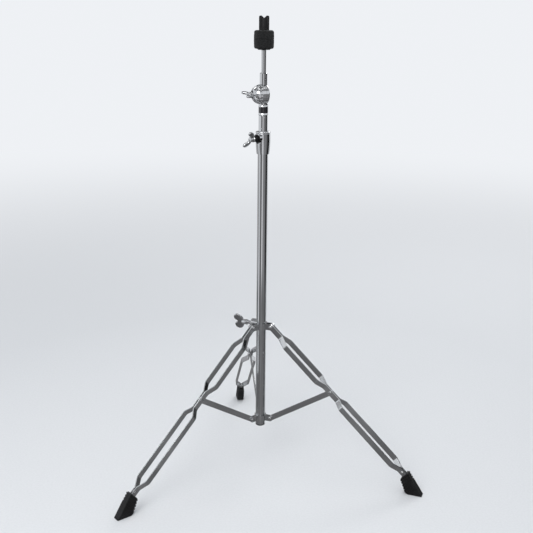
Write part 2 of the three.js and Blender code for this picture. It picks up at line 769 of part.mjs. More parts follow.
// A disc turned about Z whose meridians follow two profiles in turn, for teeth and flutes
function cogged(crests, valleys, count) {
  const geometry = revolve(crests, count + count);
  const drawnIn = revolve(valleys, count + count).attributes.position;
  const position = geometry.attributes.position;
  for (let i = 0; i < position.count; i += 1) {
    const meridian = Math.floor(i / crests.length);
    if (meridian % 2 === 1) position.setXYZ(i, drawnIn.getX(i), drawnIn.getY(i), drawnIn.getZ(i));
  }
  return geometry;
}

// The toothed face of a half, from its middle to its rim
const face = depth => [
  [0, seamHalf],
  [toothInner, seamHalf],
  [toothInner + toothDepth, seamHalf + depth],
  [toothOuter - toothDepth, seamHalf + depth],
  [toothOuter, seamHalf],
  [tilterRadius, seamHalf],
];
const dome = depth => arc(0, domeCentre, tilterRadius, 0, domeEndAngle, domeSteps)
  .map(([r, h], i) => (i > 0 && i < domeSteps ? [r * (1 - depth / tilterRadius), h] : [r, h]));
const boltRecess = [
  [boltRecessRadius, boltRecessLip],
  [boltRecessRadius, tilterBoltSeat - seatGap],
  [0, tilterBoltSeat - seatGap],
];
const nearDisc = alongX(cogged(
  [...face(0), ...dome(0), ...boltRecess],
  [...face(toothDepth), ...dome(fluteDepth), ...boltRecess],
  toothCount,
));

const socketProfile = [
  [0, socketBottom - spigotLength],
  [spigotRadius - socketRound, socketBottom - spigotLength],
  [spigotRadius, socketBottom - spigotLength + socketRound],
  [spigotRadius, socketBottom],
  [socketRadius - socketRound, socketBottom],
  [socketRadius, socketBottom + socketRound],
  [socketRadius, labelBottom],
  [socketRadius - labelDepth, labelBottom],
  [socketRadius - labelDepth, labelTop],
  [socketRadius, labelTop],
  [socketRadius, -domeCentre],
  [0, -domeCentre],
];
const tubePinInTilter = pinAcross(tubePinAzimuth - tiltAxisAzimuth + 90)(
  cylinder(tubePinRadius + seatGap, tubePinTip - seatGap, middleTubeRadius + overrun, pinSides))
  .translate(0, 0, tubePinHeight - tiltHeight);
const boltPassage = alongX(cylinder(boltHoleRadius, -overrun, tilterBoltSeat + overrun, pinSides));
const springPocket = alongX(cylinder(springPocketRadius, -overrun, springPocketDepth, pinSides));
const lowerTilter = solid(nearDisc)
  .add(solid(revolve(socketProfile)).subtract(solid(swingPath(-tilterRadius, toothDepth))));
piece('lower_tilter', cut(lowerTilter, [boltPassage, springPocket, tubePinInTilter]), chrome, tilterGroup);

piece('label_band', solid(ring(socketRadius - labelDepth + seatGap, socketRadius - seatGap,
  labelBottom + seatGap, labelTop - seatGap)), labelPaint, tilterGroup);

// Upper half: a thinner disc behind the seam, running up into the rod's neck
const farBack = [
  ...arc(tilterRadius - farRound, farThickness - farRound, farRound, 0, 90),
  [0, farThickness],
];
const farDisc = alongX(cogged([...face(0), ...farBack], [...face(toothDepth), ...farBack], toothCount))
  .rotateX(Math.PI / toothCount)
  .rotateZ(Math.PI);
const neckProfile = [
  [0, 0],
  [neckRadius, 0],
  [neckRadius, neckTop - neckChamfer],
  [neckRadius - neckChamfer, neckTop],
  [0, neckTop],
];
const screwRadius = 2.5;
const screwHeight = 31;
const screwSunk = 0.6;
const screwBore = pinAcross(rodScrewAzimuth - tiltAxisAzimuth + 90)(
  cylinder(screwRadius + seatGap, 0, neckRadius + overrun, pinSides)).translate(0, 0, screwHeight);
const rodBore = cylinder(rodRadius + seatGap, rodSeat, neckTop + overrun, boreSides);
const farBoltBore = alongX(cylinder(boltHoleRadius, -farThickness - overrun, overrun, pinSides));
const farSpringPocket = alongX(cylinder(springPocketRadius, -springPocketDepth / 2, overrun, pinSides));
const neck = solid(revolve(neckProfile, boreSides))
  .subtract(solid(swingPath(-toothDepth, tilterRadius)));
piece('upper_tilter', cut(solid(farDisc).add(neck), [farBoltBore, farSpringPocket, rodBore, screwBore]),
  chrome, tilterGroup);

// Tilter spring: an open coil round the bolt that pushes the halves apart
const springRadius = 5.6;
const springWire = 0.5;
const springTurns = 3;
const springStepsPerTurn = 8;
const springSides = 5;
class Helix extends THREE.Curve {
  constructor(radius, from, to, turns) {
    super();
    Object.assign(this, { radius, from, to, turns });
  }

  getPoint(share, target = new THREE.Vector3()) {
    const angle = share * this.turns * 2 * Math.PI;
    return target.set(this.from + (this.to - this.from) * share,
      this.radius * Math.cos(angle), this.radius * Math.sin(angle));
  }
}
const springSection = new THREE.Shape(Array.from({ length: springSides }, (_, i) => {
  const angle = i * 2 * Math.PI / springSides;
  return new THREE.Vector2(springWire * Math.cos(angle), springWire * Math.sin(angle));
}));
const springFrom = -springPocketDepth / 2 + springWire + seatGap;
const springTo = springPocketDepth - springWire - seatGap;
piece('tilter_spring', solid(new THREE.ExtrudeGeometry(springSection, {
  steps: springTurns * springStepsPerTurn,
  extrudePath: new Helix(springRadius, springFrom, springTo, springTurns),
  bevelEnabled: false,
})), zincPlate, tilterGroup);

const washerThickness = 1.4;
const washerRadius = 8.4;
piece('tilter_washer', solid(alongX(ring(boltHoleRadius, washerRadius,
  tilterBoltSeat, tilterBoltSeat + washerThickness, boreSides))), zincPlate, tilterGroup);
const tilterBoltSpin = 80;
const tilterBoltPlace = tilterBoltSeat + washerThickness + seatGap;
const tilterBolt = piece('tilter_wing_bolt',
  wingBolt(tilterBoltPlace + farThickness - seatGap, tilterBoltSpin), chrome, tilterGroup);
tilterBolt.position.x = tilterBoltPlace;

// Cymbal rod, its set screw, and the seat: washer, sleeve and two felts
const threadRadius = boltRadius;
const rodChamfer = 0.8;
const rodBottom = tiltHeight + rodSeat + seatGap;
piece('cymbal_rod', solid(revolve([
  [0, rodBottom],
  [rodRadius, rodBottom],
  [rodRadius, rodShoulderHeight - rodChamfer],
  [rodRadius - rodChamfer, rodShoulderHeight],
  [threadRadius, rodShoulderHeight],
  [threadRadius, threadTop - rodChamfer],
  [threadRadius - rodChamfer, threadTop],
  [0, threadTop],
], boreSides)), chrome);

const screwTip = rodRadius + seatGap;
const socketHexRadius = 1.4;
const socketDepth = 1.2;
const screwBack = neckRadius - screwSunk;
const screwBody = pinAcross(rodScrewAzimuth)(cylinder(screwRadius, screwTip, screwBack, pinSides));
const screwSocket = pinAcross(rodScrewAzimuth)(
  cylinder(socketHexRadius, screwBack - socketDepth, neckRadius + overrun, nutSides));
piece('rod_set_screw', cut(solid(screwBody), [screwSocket])
  .translate([0, 0, tiltHeight + screwHeight]), zincPlate);

const seatWasherRadius = 11;
const seatWasherThickness = 1.5;
const seatBottom = rodShoulderHeight + seatGap;
piece('seat_washer', solid(ring(boltHoleRadius, seatWasherRadius,
  seatBottom, seatBottom + seatWasherThickness, boreSides)), zincPlate);

const sleeveFlangeRadius = 19.6;
const sleeveFlange = 1.6;
const sleeveRecessRadius = seatWasherRadius + seatGap;
const sleeveRadius = 5.5;
const feltRadius = 21;
const feltHeight = 17.8;
const feltRound = 2.6;
const feltBelly = 0.6;
const feltSteps = 2;
const sleeveBottom = seatBottom + seatWasherThickness + seatGap;
const lowerFeltBottom = sleeveBottom + sleeveFlange + seatGap;
const upperFeltBottom = lowerFeltBottom + feltHeight + seatGap;
const nutBottom = upperFeltBottom + feltHeight + seatGap;
const sleeveTop = nutBottom - seatGap - feltRound;
piece('cymbal_sleeve', solid(revolve([
  [boltHoleRadius, sleeveBottom],
  [sleeveRecessRadius, sleeveBottom],
  [sleeveRecessRadius, seatBottom],
  [sleeveFlangeRadius, seatBottom],
  [sleeveFlangeRadius, sleeveBottom + sleeveFlange],
  [sleeveRadius, sleeveBottom + sleeveFlange],
  [sleeveRadius, sleeveTop],
  [boltHoleRadius, sleeveTop],
  [boltHoleRadius, sleeveBottom],
], boreSides)), blackPlastic);

function felt(bottom) {
  const inner = sleeveRadius + seatGap;
  const edge = feltRadius - feltBelly - feltRound;
  return solid(revolve([
    [inner, bottom],
    ...arc(edge, bottom + feltRound, feltRound, -90, -20, feltSteps),
    [feltRadius, bottom + feltHeight / 2],
    ...arc(edge, bottom + feltHeight - feltRound, feltRound, 20, 90, feltSteps),
    [inner, bottom + feltHeight],
    [inner, bottom],
  ], tubeSides));
}
piece('lower_felt', felt(lowerFeltBottom), charcoalFelt);
piece('upper_felt', felt(upperFeltBottom), charcoalFelt);

// Wing nut: a moulded base and hub between two flat upright wings with rounded tops
const nutHeight = 28.8;
const nutHalfSpan = 10.4;
const nutBaseHeight = 3.2;
const nutHubRadius = 7.6;
const nutHubTopRadius = 6.4;
const nutHubHeight = 24.4;
const nutWingThickness = 6.6;
const nutLobeRadius = 4.2;
const insertRadius = 6.1;
const insertHeight = 10;
const insertInset = 0.6;
const nutAzimuth = -9;

const nutWing = new THREE.Shape();
nutWing.moveTo(-nutHalfSpan, 0);
nutWing.lineTo(nutHalfSpan, 0);
nutWing.lineTo(nutHalfSpan, nutHeight - nutLobeRadius);
const nutLobeX = nutHalfSpan - nutLobeRadius;
const nutLobeHeight = nutHeight - nutLobeRadius;
const nutLobeTurn = 135 * degree;
nutWing.absarc(nutLobeX, nutLobeHeight, nutLobeRadius, 0, nutLobeTurn);
nutWing.quadraticCurveTo(0, nutHubHeight - nutLobeRadius / 2,
  -nutLobeX - nutLobeRadius * Math.cos(nutLobeTurn),
  nutLobeHeight + nutLobeRadius * Math.sin(nutLobeTurn));
nutWing.absarc(-nutLobeX, nutLobeHeight, nutLobeRadius, Math.PI - nutLobeTurn, Math.PI);
const nutBody = joined([
  revolve([
    [0, 0],
    [nutHalfSpan, 0],
    [nutHalfSpan, nutBaseHeight],
    [nutHubRadius, nutBaseHeight + (nutHalfSpan - nutHubRadius)],
    [nutHubTopRadius, nutHubHeight],
    [0, nutHubHeight],
  ], boreSides),
  plateXZ(nutWing, nutWingThickness),
]);
const nutThread = cylinder(boltHoleRadius, -overrun, threadTop + seatGap - nutBottom, pinSides);
const insertPocket = cylinder(
  insertRadius + seatGap, -overrun, insertInset + insertHeight + seatGap, pinSides);
const nutSolid = cut(nutBody, [nutThread, insertPocket]).rotate([0, 0, nutAzimuth]);
const nut = piece('wing_nut', nutSolid, blackPlastic);
nut.position.z = nutBottom;
piece('wing_nut_insert', solid(ring(boltHoleRadius, insertRadius,
  nutBottom + insertInset, nutBottom + insertInset + insertHeight, pinSides)), zincPlate);

// The origin sits on the floor, under the middle of the whole stand's box
const whole = new THREE.Box3().setFromObject(stand, true);
stand.position.set(-(whole.min.x + whole.max.x) / 2, -(whole.min.y + whole.max.y) / 2, -whole.min.z);

const cymbalStand = new THREE.Group();
cymbalStand.add(stand);
cymbalStand.updateMatrixWorld(true);

export default cymbalStand;
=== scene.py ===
from math import atan2, cos, pi, radians, sin, tau

import bmesh
import bpy
from mathutils import Matrix, Vector, noise


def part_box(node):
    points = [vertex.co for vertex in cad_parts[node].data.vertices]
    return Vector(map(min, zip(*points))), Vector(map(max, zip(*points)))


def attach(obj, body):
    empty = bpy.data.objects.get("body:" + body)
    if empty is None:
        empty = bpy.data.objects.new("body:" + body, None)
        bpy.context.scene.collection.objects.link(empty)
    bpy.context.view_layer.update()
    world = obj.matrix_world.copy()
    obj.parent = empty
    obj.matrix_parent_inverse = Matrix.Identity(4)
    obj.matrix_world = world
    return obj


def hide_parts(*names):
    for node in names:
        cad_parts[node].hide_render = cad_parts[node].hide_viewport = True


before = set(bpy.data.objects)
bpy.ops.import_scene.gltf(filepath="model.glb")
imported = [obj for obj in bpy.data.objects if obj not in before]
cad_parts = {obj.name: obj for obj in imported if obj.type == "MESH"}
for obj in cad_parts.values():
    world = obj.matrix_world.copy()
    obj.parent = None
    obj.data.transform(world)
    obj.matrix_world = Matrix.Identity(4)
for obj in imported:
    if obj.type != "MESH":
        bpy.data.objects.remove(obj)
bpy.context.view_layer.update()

# Lengths below are in millimetres, as on the stand's own drawing, and angles in degrees.
# An azimuth is counted from the front (-Y) towards the right (+X).
mm = 0.001


def middle(node):
    """The middle of a CAD node's box, in millimetres."""
    low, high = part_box(node)
    return (low + high) / 2 / mm


def turned(angle, axis="Z"):
    return Matrix.Rotation(radians(angle), 4, axis)


def shifted(x=0.0, y=0.0, z=0.0):
    return Matrix.Translation((x, y, z))


def placed(name, data):
    made = bpy.data.objects.new(name, data)
    bpy.context.scene.collection.objects.link(made)
    return made


# The camera stands a little left of the front, as high as the top of the stand, and
# looks down at it. Its place is counted from where the tube's axis meets the floor.
pole = middle("base_tube")
pole.z = 0
to_pole = Matrix.Translation(pole * mm)
camera_distance, camera_height, camera_azimuth = 1850.6, 1025.2, -9
camera_pitch, camera_roll, camera_yaw = 16.101, 0.66, 0.330
photo_pixels, focal_pixels, sensor_width = 533, 859.2, 36
near_limit, far_limit = 0.01, 50

camera_data = bpy.data.cameras.new("front camera")
camera_data.sensor_width = sensor_width
camera_data.lens = sensor_width * focal_pixels / photo_pixels
camera_data.clip_start, camera_data.clip_end = near_limit, far_limit
camera = placed("front camera", camera_data)
camera.matrix_world = (
    to_pole
    @ turned(camera_azimuth)
    @ shifted(0, -camera_distance * mm, camera_height * mm)
    @ turned(-camera_yaw)
    @ turned(90 - camera_pitch, "X")
    @ turned(camera_roll)
)
bpy.context.scene.camera = camera
bpy.context.scene.view_settings.view_transform = "Standard"


# The floor is plain and pale, with a fine even grain. It takes the lamps' light near the
# stand and fades into the world, which is paler still. Camera rays, mirrors and clear
# things see the world at its own colour.
class Tone:
    """One shader socket. Sums written on it become Math nodes."""

    def __init__(self, tree, socket=None):
        self.tree, self.socket = tree, socket

    def node(self, kind, sockets=None, output=0, **settings):
        made = self.tree.nodes.new(kind)
        for setting, value in settings.items():
            setattr(made, setting, value)
        for key, value in (sockets or {}).items():
            if isinstance(value, Tone):
                self.tree.links.new(value.socket, made.inputs[key])
            else:
                made.inputs[key].default_value = value
        return Tone(self.tree, made.outputs[output])

    def sum(self, operation, first, second, clamped=False):
        sockets = {0: first, 1: second}
        return self.node("ShaderNodeMath", sockets, operation=operation, use_clamp=clamped)

    def __add__(self, other):
        return self.sum("ADD", self, other)

    def __rsub__(self, other):
        return self.sum("SUBTRACT", other, self)

    def __mul__(self, other):
        return self.sum("MULTIPLY", self, other)

    def over(self, limit, softness):
        """0 below the limit, rising to 1 over the softness."""
        return self.sum("DIVIDE", self.sum("SUBTRACT", self, limit), softness, clamped=True)

    def place(self):
        return self.node("ShaderNodeTexCoord", output="Object")

    def grain(self, scale, detail=2.0, stretch=(1, 1, 1)):
        vector = self.node("ShaderNodeMapping", {"Vector": self.place(), "Scale": stretch})
        return self.node("ShaderNodeTexNoise", {"Vector": vector, "Scale": scale, "Detail": detail})

    def between(self, first, second):
        """A colour that runs from the first to the second as this tone rises."""
        factor, first_colour, second_colour, result = 0, 6, 7, 2
        sockets = {factor: self, first_colour: (*first, 1), second_colour: (*second, 1)}
        return self.node("ShaderNodeMix", sockets, result, data_type="RGBA")

    def relief(self, depth):
        return self.node("ShaderNodeBump", {"Height": self, "Strength": 1.0, "Distance": depth * mm})


class Finish:
    """A material with one Principled shader. The slot it is given is kept, but nothing here uses it."""

    def __init__(self, name, slot=None, **constants):
        self.slot = slot
        self.material = bpy.data.materials.new(name)
        self.material.use_nodes = True
        self.shader = self.material.node_tree.nodes["Principled BSDF"]
        self.tone = Tone(self.material.node_tree)
        for key, value in constants.items():
            socket = self.shader.inputs[key.replace("_", " ")]
            socket.default_value = (*value, 1) if isinstance(value, tuple) else value

    def wire(self, **links):
        for key, tone in links.items():
            self.tone.tree.links.new(tone.socket, self.shader.inputs[key.replace("_", " ")])
        return self


def moved(form, matrix):
    bmesh.ops.transform(form, matrix=matrix, verts=form.verts)
    return form


def solid(name, form, look=None):
    """A new object of the scene that has the form as its mesh."""
    mesh = bpy.data.meshes.new(name)
    form.to_mesh(mesh)
    form.free()
    if look:
        mesh.materials.append(look.material)
    return placed(name, mesh)


black, backdrop_colour = (0, 0, 0), (0.86, 0.88, 0.91)
floor_colour, daylight_colour, daylight = (0.72, 0.73, 0.74), (0.84, 0.88, 0.94), 0.6
floor_half, floor_drop, floor_grain, grain_depth = 9.0, 0.0004, 220, 0.12
fade_start, fade_reach = 1.0, 4.2
floor_look = Finish("studio floor", Roughness=0.9, Specular_IOR_Level=0.0, Emission_Strength=1.0)
floor_tone = floor_look.tone
floor_reach = floor_tone.node(
    "ShaderNodeVectorMath", {0: floor_tone.place()}, "Value", operation="LENGTH"
)
floor_close = 1 - floor_reach.over(fade_start, fade_reach)
floor_far = 1 - floor_close * floor_close
floor_near = (1 - floor_far) * (floor_tone.grain(floor_grain, 6) * grain_depth + (1 - grain_depth))
floor_look.wire(
    Base_Color=floor_near.between(black, floor_colour),
    Emission_Color=floor_far.between(black, backdrop_colour),
)
floor_form = bmesh.new()
bmesh.ops.create_grid(floor_form, x_segments=1, y_segments=1, size=floor_half)
solid("studio_floor", moved(floor_form, shifted(z=-floor_drop)), floor_look)

world = bpy.data.worlds.new("studio")
bpy.context.scene.world = world
world.use_nodes = True
world.node_tree.nodes.clear()
air = Tone(world.node_tree)


def world_light(colour, strength):
    return air.node("ShaderNodeBackground", {"Color": (*colour, 1), "Strength": strength})


camera_ray, glossy_ray, clear_ray = (
    air.node("ShaderNodeLightPath", output=f"Is {kind} Ray")
    for kind in ("Camera", "Glossy", "Transmission")
)
seen = (camera_ray + glossy_ray + clear_ray).over(0, 1)
sky = air.node("ShaderNodeMixShader", {
    0: seen,
    1: world_light(daylight_colour, daylight),
    2: world_light(backdrop_colour, 1.0),
})
world_end = world.node_tree.nodes.new("ShaderNodeOutputWorld")
world.node_tree.links.new(sky.socket, world_end.inputs["Surface"])


# Grey and dark cards stand about the stand and run in under it, and grey slats hang
# over it, as round any chrome thing in a studio, so that the plating has stripes to
# show. Only mirrors see them, and between them lies the pale floor and backdrop.
def traced(points):
    """A form of edges that join the points in turn."""
    form = bmesh.new()
    verts = [form.verts.new(point) for point in points]
    for pair in zip(verts, verts[1:]):
        form.edges.new(pair)
    return form


def swept(form, angle, steps, rise=0.0, closed=False):
    """Sweeps the form's edges round Z, with a rise at each step."""
    bmesh.ops.spin(
        form, geom=form.verts[:] + form.edges[:], cent=(0, 0, 0), axis=(0, 0, 1),
        dvec=(0, 0, rise), angle=radians(angle), steps=steps,
        use_merge=closed, use_duplicate=False,
    )
    return form


mottle_scale, mottle_limit, mottle_softness, mottle_depth = 5, 0.3, 0.4, 0.5
upright_rise, crown_height, crown_rise = 0.12, 1.15, 0.2


def stage_card(name, form, low, high, crown):
    """A card of glowing cloth, whose tone is set by its height and by a soft mottle."""
    cloth = Finish(name, Roughness=1.0, Specular_IOR_Level=0.0, Emission_Strength=1.0)
    height = cloth.tone.node("ShaderNodeSeparateXYZ", {0: cloth.tone.place()}, "Z")
    upright = height.over(0, upright_rise) * (high - low) + low
    tone = height.over(crown_height, crown_rise) * (crown - high) + upright
    spots = cloth.tone.grain(mottle_scale, 3, (1, 1, 0.4)).over(mottle_limit, mottle_softness)
    mottle = spots * mottle_depth + (1 - mottle_depth / 2)
    cloth.wire(
        Base_Color=mottle.between(black, black),
        Emission_Color=(tone * mottle).between(black, (1, 1, 1.03)),
    )
    card = solid(name, form, cloth)
    card.visible_camera = card.visible_diffuse = card.visible_shadow = False
    card.visible_transmission = False


# Each card's start and end azimuth, its reach and height, and its tone low on the
# floor, upright, and in its upper part.
cards = {
    "card_right": (78, 122, 1.3, 1.05, 0.10, 0.012, 0.03),
    "card_side_right": (58, 78, 1.3, 1.05, 0.17, 0.12, 0.12),
    "card_front_right": (10, 58, 1.3, 1.0, 0.20, 0.27, 0.3),
    "card_front": (-17, 10, 1.3, 1.0, 0.24, 0.74, 0.8),
    "card_front_left": (-44, -17, 1.3, 1.0, 0.17, 0.16, 0.16),
    "card_side_left": (-60, -44, 1.3, 1.0, 0.20, 0.40, 0.40),
    "card_floor_left": (-86, -60, 0.6, 0.0, 0.16, 0.16, 0.16),
    "card_left": (-128, -86, 1.3, 0.62, 0.16, 0.42, 0.42),
    "card_back_left": (-180, -138, 1.3, 2.0, 0.20, 0.36, 0.10),
    "card_back_right": (146, 180, 1.3, 1.0, 0.20, 0.26, 0.26),
}
card_near, card_lift, card_curve, card_step, fewest_steps = 0.03, 0.002, 0.04, 4, 4
for card_name, (start, end, reach, rise, *tones) in cards.items():
    path = [(card_near, card_lift), (reach - card_curve, card_lift)]
    if rise:
        path += [(reach, card_curve), (reach, rise)]
    card_form = traced([(0, -place, height) for place, height in path])
    moved(card_form, turned(start + camera_azimuth))
    swept(card_form, end - start, max(fewest_steps, (end - start) // card_step))
    stage_card(card_name, moved(card_form, to_pole), *tones)

slat_height, slat_length, slat_width, slat_pitch = 2.2, 3.2, 0.33, 0.42
slat_count, slat_azimuth, slat_tone = 8, 30, 0.14
slats = bmesh.new()
for count in range(slat_count):
    shift = (count - (slat_count - 1) / 2) * slat_pitch
    place = shifted(0, shift, slat_height) @ Matrix.Diagonal((slat_length, slat_width, 1, 1))
    bmesh.ops.create_grid(slats, x_segments=1, y_segments=1, size=0.5, matrix=place)
moved(slats, to_pole @ turned(slat_azimuth))
stage_card("slats_above", slats, slat_tone, slat_tone, slat_tone)

# Three soft boxes: a wide one by the camera's left, one overhead, a small one behind.
# Each has its azimuth, its distance and height, its size and its power.
soft_boxes = {
    "key box": (-26, 2.3, 2.1, 1.5, 35),
    "top box": (0, 0.3, 2.9, 2.0, 27),
    "back box": (150, 2.2, 2.0, 1.0, 16),
}
aim_height = 0.5
aim = pole * mm + Vector((0, 0, aim_height))
for box_name, (azimuth, distance, height, size, power) in soft_boxes.items():
    lamp_data = bpy.data.lights.new(box_name, "AREA")
    lamp_data.size, lamp_data.energy = size, power
    place = pole * mm + turned(azimuth + camera_azimuth) @ Vector((0, -distance, height))
    facing = (place - aim).to_track_quat("Z", "Y")
    placed(box_name, lamp_data).matrix_world = (
        Matrix.Translation(place) @ facing.to_matrix().to_4x4()
    )


# Base tube: 22.2 mm steel tube with a bright chrome plate, open at both ends. It was
# drawn through a die, which left the faintest lines along it.
def heights(node):
    """The lowest and the highest point of a CAD node, in millimetres."""
    low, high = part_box(node)
    return low.z / mm, high.z / mm


def spun(outline, sides=96):
    """A form turned about Z from [radius, height] points."""
    return swept(traced([(radius, 0, height) for radius, height in outline]), 360, sides, closed=True)


def ring(inner, outer, low, high, sides=96):
    return spun([(inner, low), (outer, low), (outer, high), (inner, high), (inner, low)], sides)


def cleaned(form):
    speck = 0.001
    bmesh.ops.remove_doubles(form, verts=form.verts, dist=speck)
    bmesh.ops.dissolve_degenerate(form, edges=form.edges, dist=speck)
    bmesh.ops.recalc_face_normals(form, faces=form.faces)
    return form


ease_steps = 3


def finished(name, form, place, look, body, ease=0.0, crease=33, node=None):
    """Stands for a CAD node: the form at its place, smooth, with eased edges and its look.
    The node's name is the piece's without its last word, unless one is given."""
    made = solid(name, moved(cleaned(moved(form, place)), Matrix.Scale(mm, 4)), look)
    made.data.shade_smooth()
    made.data.set_sharp_from_angle(angle=radians(crease))
    if ease:
        edges = made.modifiers.new("eased edges", "BEVEL")
        edges.width, edges.segments = ease * mm, ease_steps
        edges.limit_method, edges.angle_limit = "ANGLE", radians(crease)
        edges.harden_normals = True
    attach(made, body)
    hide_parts(node or name.rpartition("_")[0])


mark_scale, mark_limit, mark_softness, mark_tint, mark_dullness = 18, 0.5, 0.22, 0.94, 0.05
line_scale, line_dullness, wave_scale = 340, 0.03, 90


def chrome(name, slot="chrome", tint=(0.63, 0.64, 0.65), dullness=0.045, wave=0.02, stretch=(1, 1, 1)):
    finish = Finish(name, slot, Metallic=1.0)
    marks = finish.tone.grain(mark_scale, 5, stretch).over(mark_limit, mark_softness)
    lines = finish.tone.grain(line_scale, 3, stretch)
    return finish.wire(
        Base_Color=marks.between(tint, tuple(channel * mark_tint for channel in tint)),
        Roughness=marks * mark_dullness + (lines * line_dullness + dullness),
        Normal=finish.tone.grain(wave_scale, 2, stretch).relief(wave),
    )


drawn_chrome = chrome("drawn chrome", stretch=(1, 1, 0.06))
tube_outer, tube_inner, tube_round = 11.1, 9.9, 0.35
tube_low, tube_high = heights("base_tube")
at_pole = Matrix.Translation(pole)
tube = ring(tube_inner, tube_outer, tube_low, tube_high)
finished("base_tube_plated", tube, at_pole, drawn_chrome, "base", tube_round)

# End cap: a moulded plug of black plastic pushed up into the tube, with a chamfered
# flange over the tube's cut end and a shallow dish in the middle.
seat_gap = 0.3
wear_scale, wear_dullness, dust_limit, dust_softness = 45, 0.22, 0.48, 0.3


def moulded(name, slot, colour, roughness, skin_scale, skin_depth, dust=0.02, gloss=0.2):
    finish = Finish(name, slot, Specular_IOR_Level=gloss)
    worn = finish.tone.grain(wear_scale, 5)
    dusty = tuple(channel + dust for channel in colour)
    return finish.wire(
        Base_Color=worn.over(dust_limit, dust_softness).between(colour, dusty),
        Roughness=worn * wear_dullness + (roughness - wear_dullness / 2),
        Normal=finish.tone.grain(skin_scale, 3).relief(skin_depth),
    )


black_plastic = moulded(
    "satin black plastic", "black_plastic", (0.008, 0.008, 0.0085), 0.5, 900, 0.05, dust=0.008
)
cap_flange, cap_plug, cap_wall, cap_dish, cap_dish_depth = 2.6, 14, 2, 5, 0.7
cap_top = tube_low - seat_gap
cap_bottom = cap_top - cap_flange
cap_plug_radius = tube_inner - seat_gap
end_cap = spun([
    (0, cap_bottom + cap_dish_depth), (cap_dish, cap_bottom + cap_dish_depth),
    (cap_dish + cap_dish_depth, cap_bottom), (tube_outer - cap_flange / 2, cap_bottom),
    (tube_outer, cap_bottom + cap_flange / 2), (tube_outer, cap_top),
    (cap_plug_radius, cap_top), (cap_plug_radius, cap_top + cap_plug),
    (cap_plug_radius - cap_wall, cap_top + cap_plug), (cap_plug_radius - cap_wall, cap_top),
    (0, cap_top),
])
finished("end_cap_moulded", end_cap, at_pole, black_plastic, "base", 0.25, node="base_tube_end_cap")

# Lower bracket: a chromed steel ring on the tube with three pairs of ears. Each pair
# holds a strut on a rivet, and a dome-headed pin at the back fixes the ring.
stand_up, along_x, along_y = turned(90, "X"), turned(90, "Y"), turned(-90, "X")
legs = {"left": -60, "right": 60, "rear": 180}


def outward(azimuth, height, reach=0.0):
    """The frame whose +X looks out from the tube's axis at an azimuth."""
    return at_pole @ shifted(z=height) @ turned(azimuth - 90) @ shifted(reach)


def raised(form, grown, rise):
    """Lifts what an extrusion has grown."""
    verts = [item for item in grown["geom"] if isinstance(item, bmesh.types.BMVert)]
    bmesh.ops.translate(form, verts=verts, vec=(0, 0, rise))
    return form


def thickened(form, depth):
    """Grows the form's flat face into a slab, half of it to each side."""
    raised(form, bmesh.ops.extrude_face_region(form, geom=form.faces[:]), -depth)
    return moved(form, shifted(z=depth / 2))


def bar(length, half, thickness, aside=0.0, sides=48):
    """A flat bar with round ends that runs along X in an upright plane."""
    form = bmesh.new()
    half_step = turned(180 / sides)
    bmesh.ops.create_circle(form, cap_ends=True, segments=sides, radius=half, matrix=half_step)
    far_half = [vert for vert in form.verts if vert.co.x > 0]
    bmesh.ops.translate(form, verts=far_half, vec=(length, 0, 0))
    return moved(thickened(form, thickness), shifted(y=aside) @ stand_up)


def discard(thing):
    mesh = thing.data
    bpy.data.objects.remove(thing)
    bpy.data.meshes.remove(mesh)


def settled(form, *steps):
    """The form as it is after modifiers, each given by its type and its settings."""
    thing = solid("form in work", cleaned(form))
    for kind, settings in steps:
        modifier = thing.modifiers.new(kind, kind)
        for setting, value in settings.items():
            setattr(modifier, setting, value)
    result = bmesh.new()
    result.from_object(thing, bpy.context.evaluated_depsgraph_get())
    discard(thing)
    return result


def worked(form, tools, operation):
    """Joins or cuts the form with the tools, as one closed form."""
    blocks = [solid("tool", cleaned(tool)) for tool in tools]
    settings = {"operation": operation, "solver": "EXACT"}
    result = settled(form, *(("BOOLEAN", {**settings, "object": block}) for block in blocks))
    for block in blocks:
        discard(block)
    return result


def joined(form, *others):
    return worked(form, others, "UNION")


def cut(form, *tools):
    return worked(form, tools, "DIFFERENCE")


def rod(radius, start, end, sides=64):
    return spun([(0, start), (radius, start), (radius, end), (0, end)], sides)


pivot_reach, overrun, round_sides = 25, 3, 96


def ears(half, thickness, inner):
    """Three pairs of ears round the tube, one pair for each leg."""
    for azimuth in legs.values():
        for side in (-1, 1):
            ear = bar(pivot_reach, half, thickness, side * (inner + thickness / 2))
            yield moved(ear, turned(azimuth - 90))


stamped_chrome = chrome("stamped chrome", dullness=0.075, wave=0.05)
ring_gap = tube_outer + seat_gap
bracket_half, bracket_wall, ear_thickness = 7, 2.2, 2
strip_width, strip_thickness = 12.7, 2.5
ear_inner = strip_thickness / 2 + seat_gap
bracket_height = middle("left_bracket_rivet").z
bracket_ring = ring_gap + bracket_wall
bracket = cut(
    joined(
        rod(bracket_ring, -bracket_half, bracket_half, round_sides),
        *ears(bracket_half - seat_gap, ear_thickness, ear_inner),
    ),
    rod(ring_gap, -bracket_half - overrun, bracket_half + overrun, round_sides),
)
place = at_pole @ shifted(z=bracket_height)
finished("lower_bracket_stamped", bracket, place, stamped_chrome, "base", 0.6)

zinc_plate = chrome("dull zinc plate", "zinc_plate", (0.44, 0.445, 0.45), dullness=0.26, wave=0.05)
head_radius, head_rise, rivet_radius, small_sides = 4.4, 1.9, 2.5, 40


def shares(steps):
    """Even steps from 0 to 1."""
    return [step / steps for step in range(steps + 1)]


def arc(across, height, radius, start, end, steps, rise=None):
    """Points of an arc about a centre, from one angle to another."""
    angles = [radians(start + (end - start) * share) for share in shares(steps)]
    rise = rise or radius
    return [(across + radius * cos(a), height + rise * sin(a)) for a in angles]


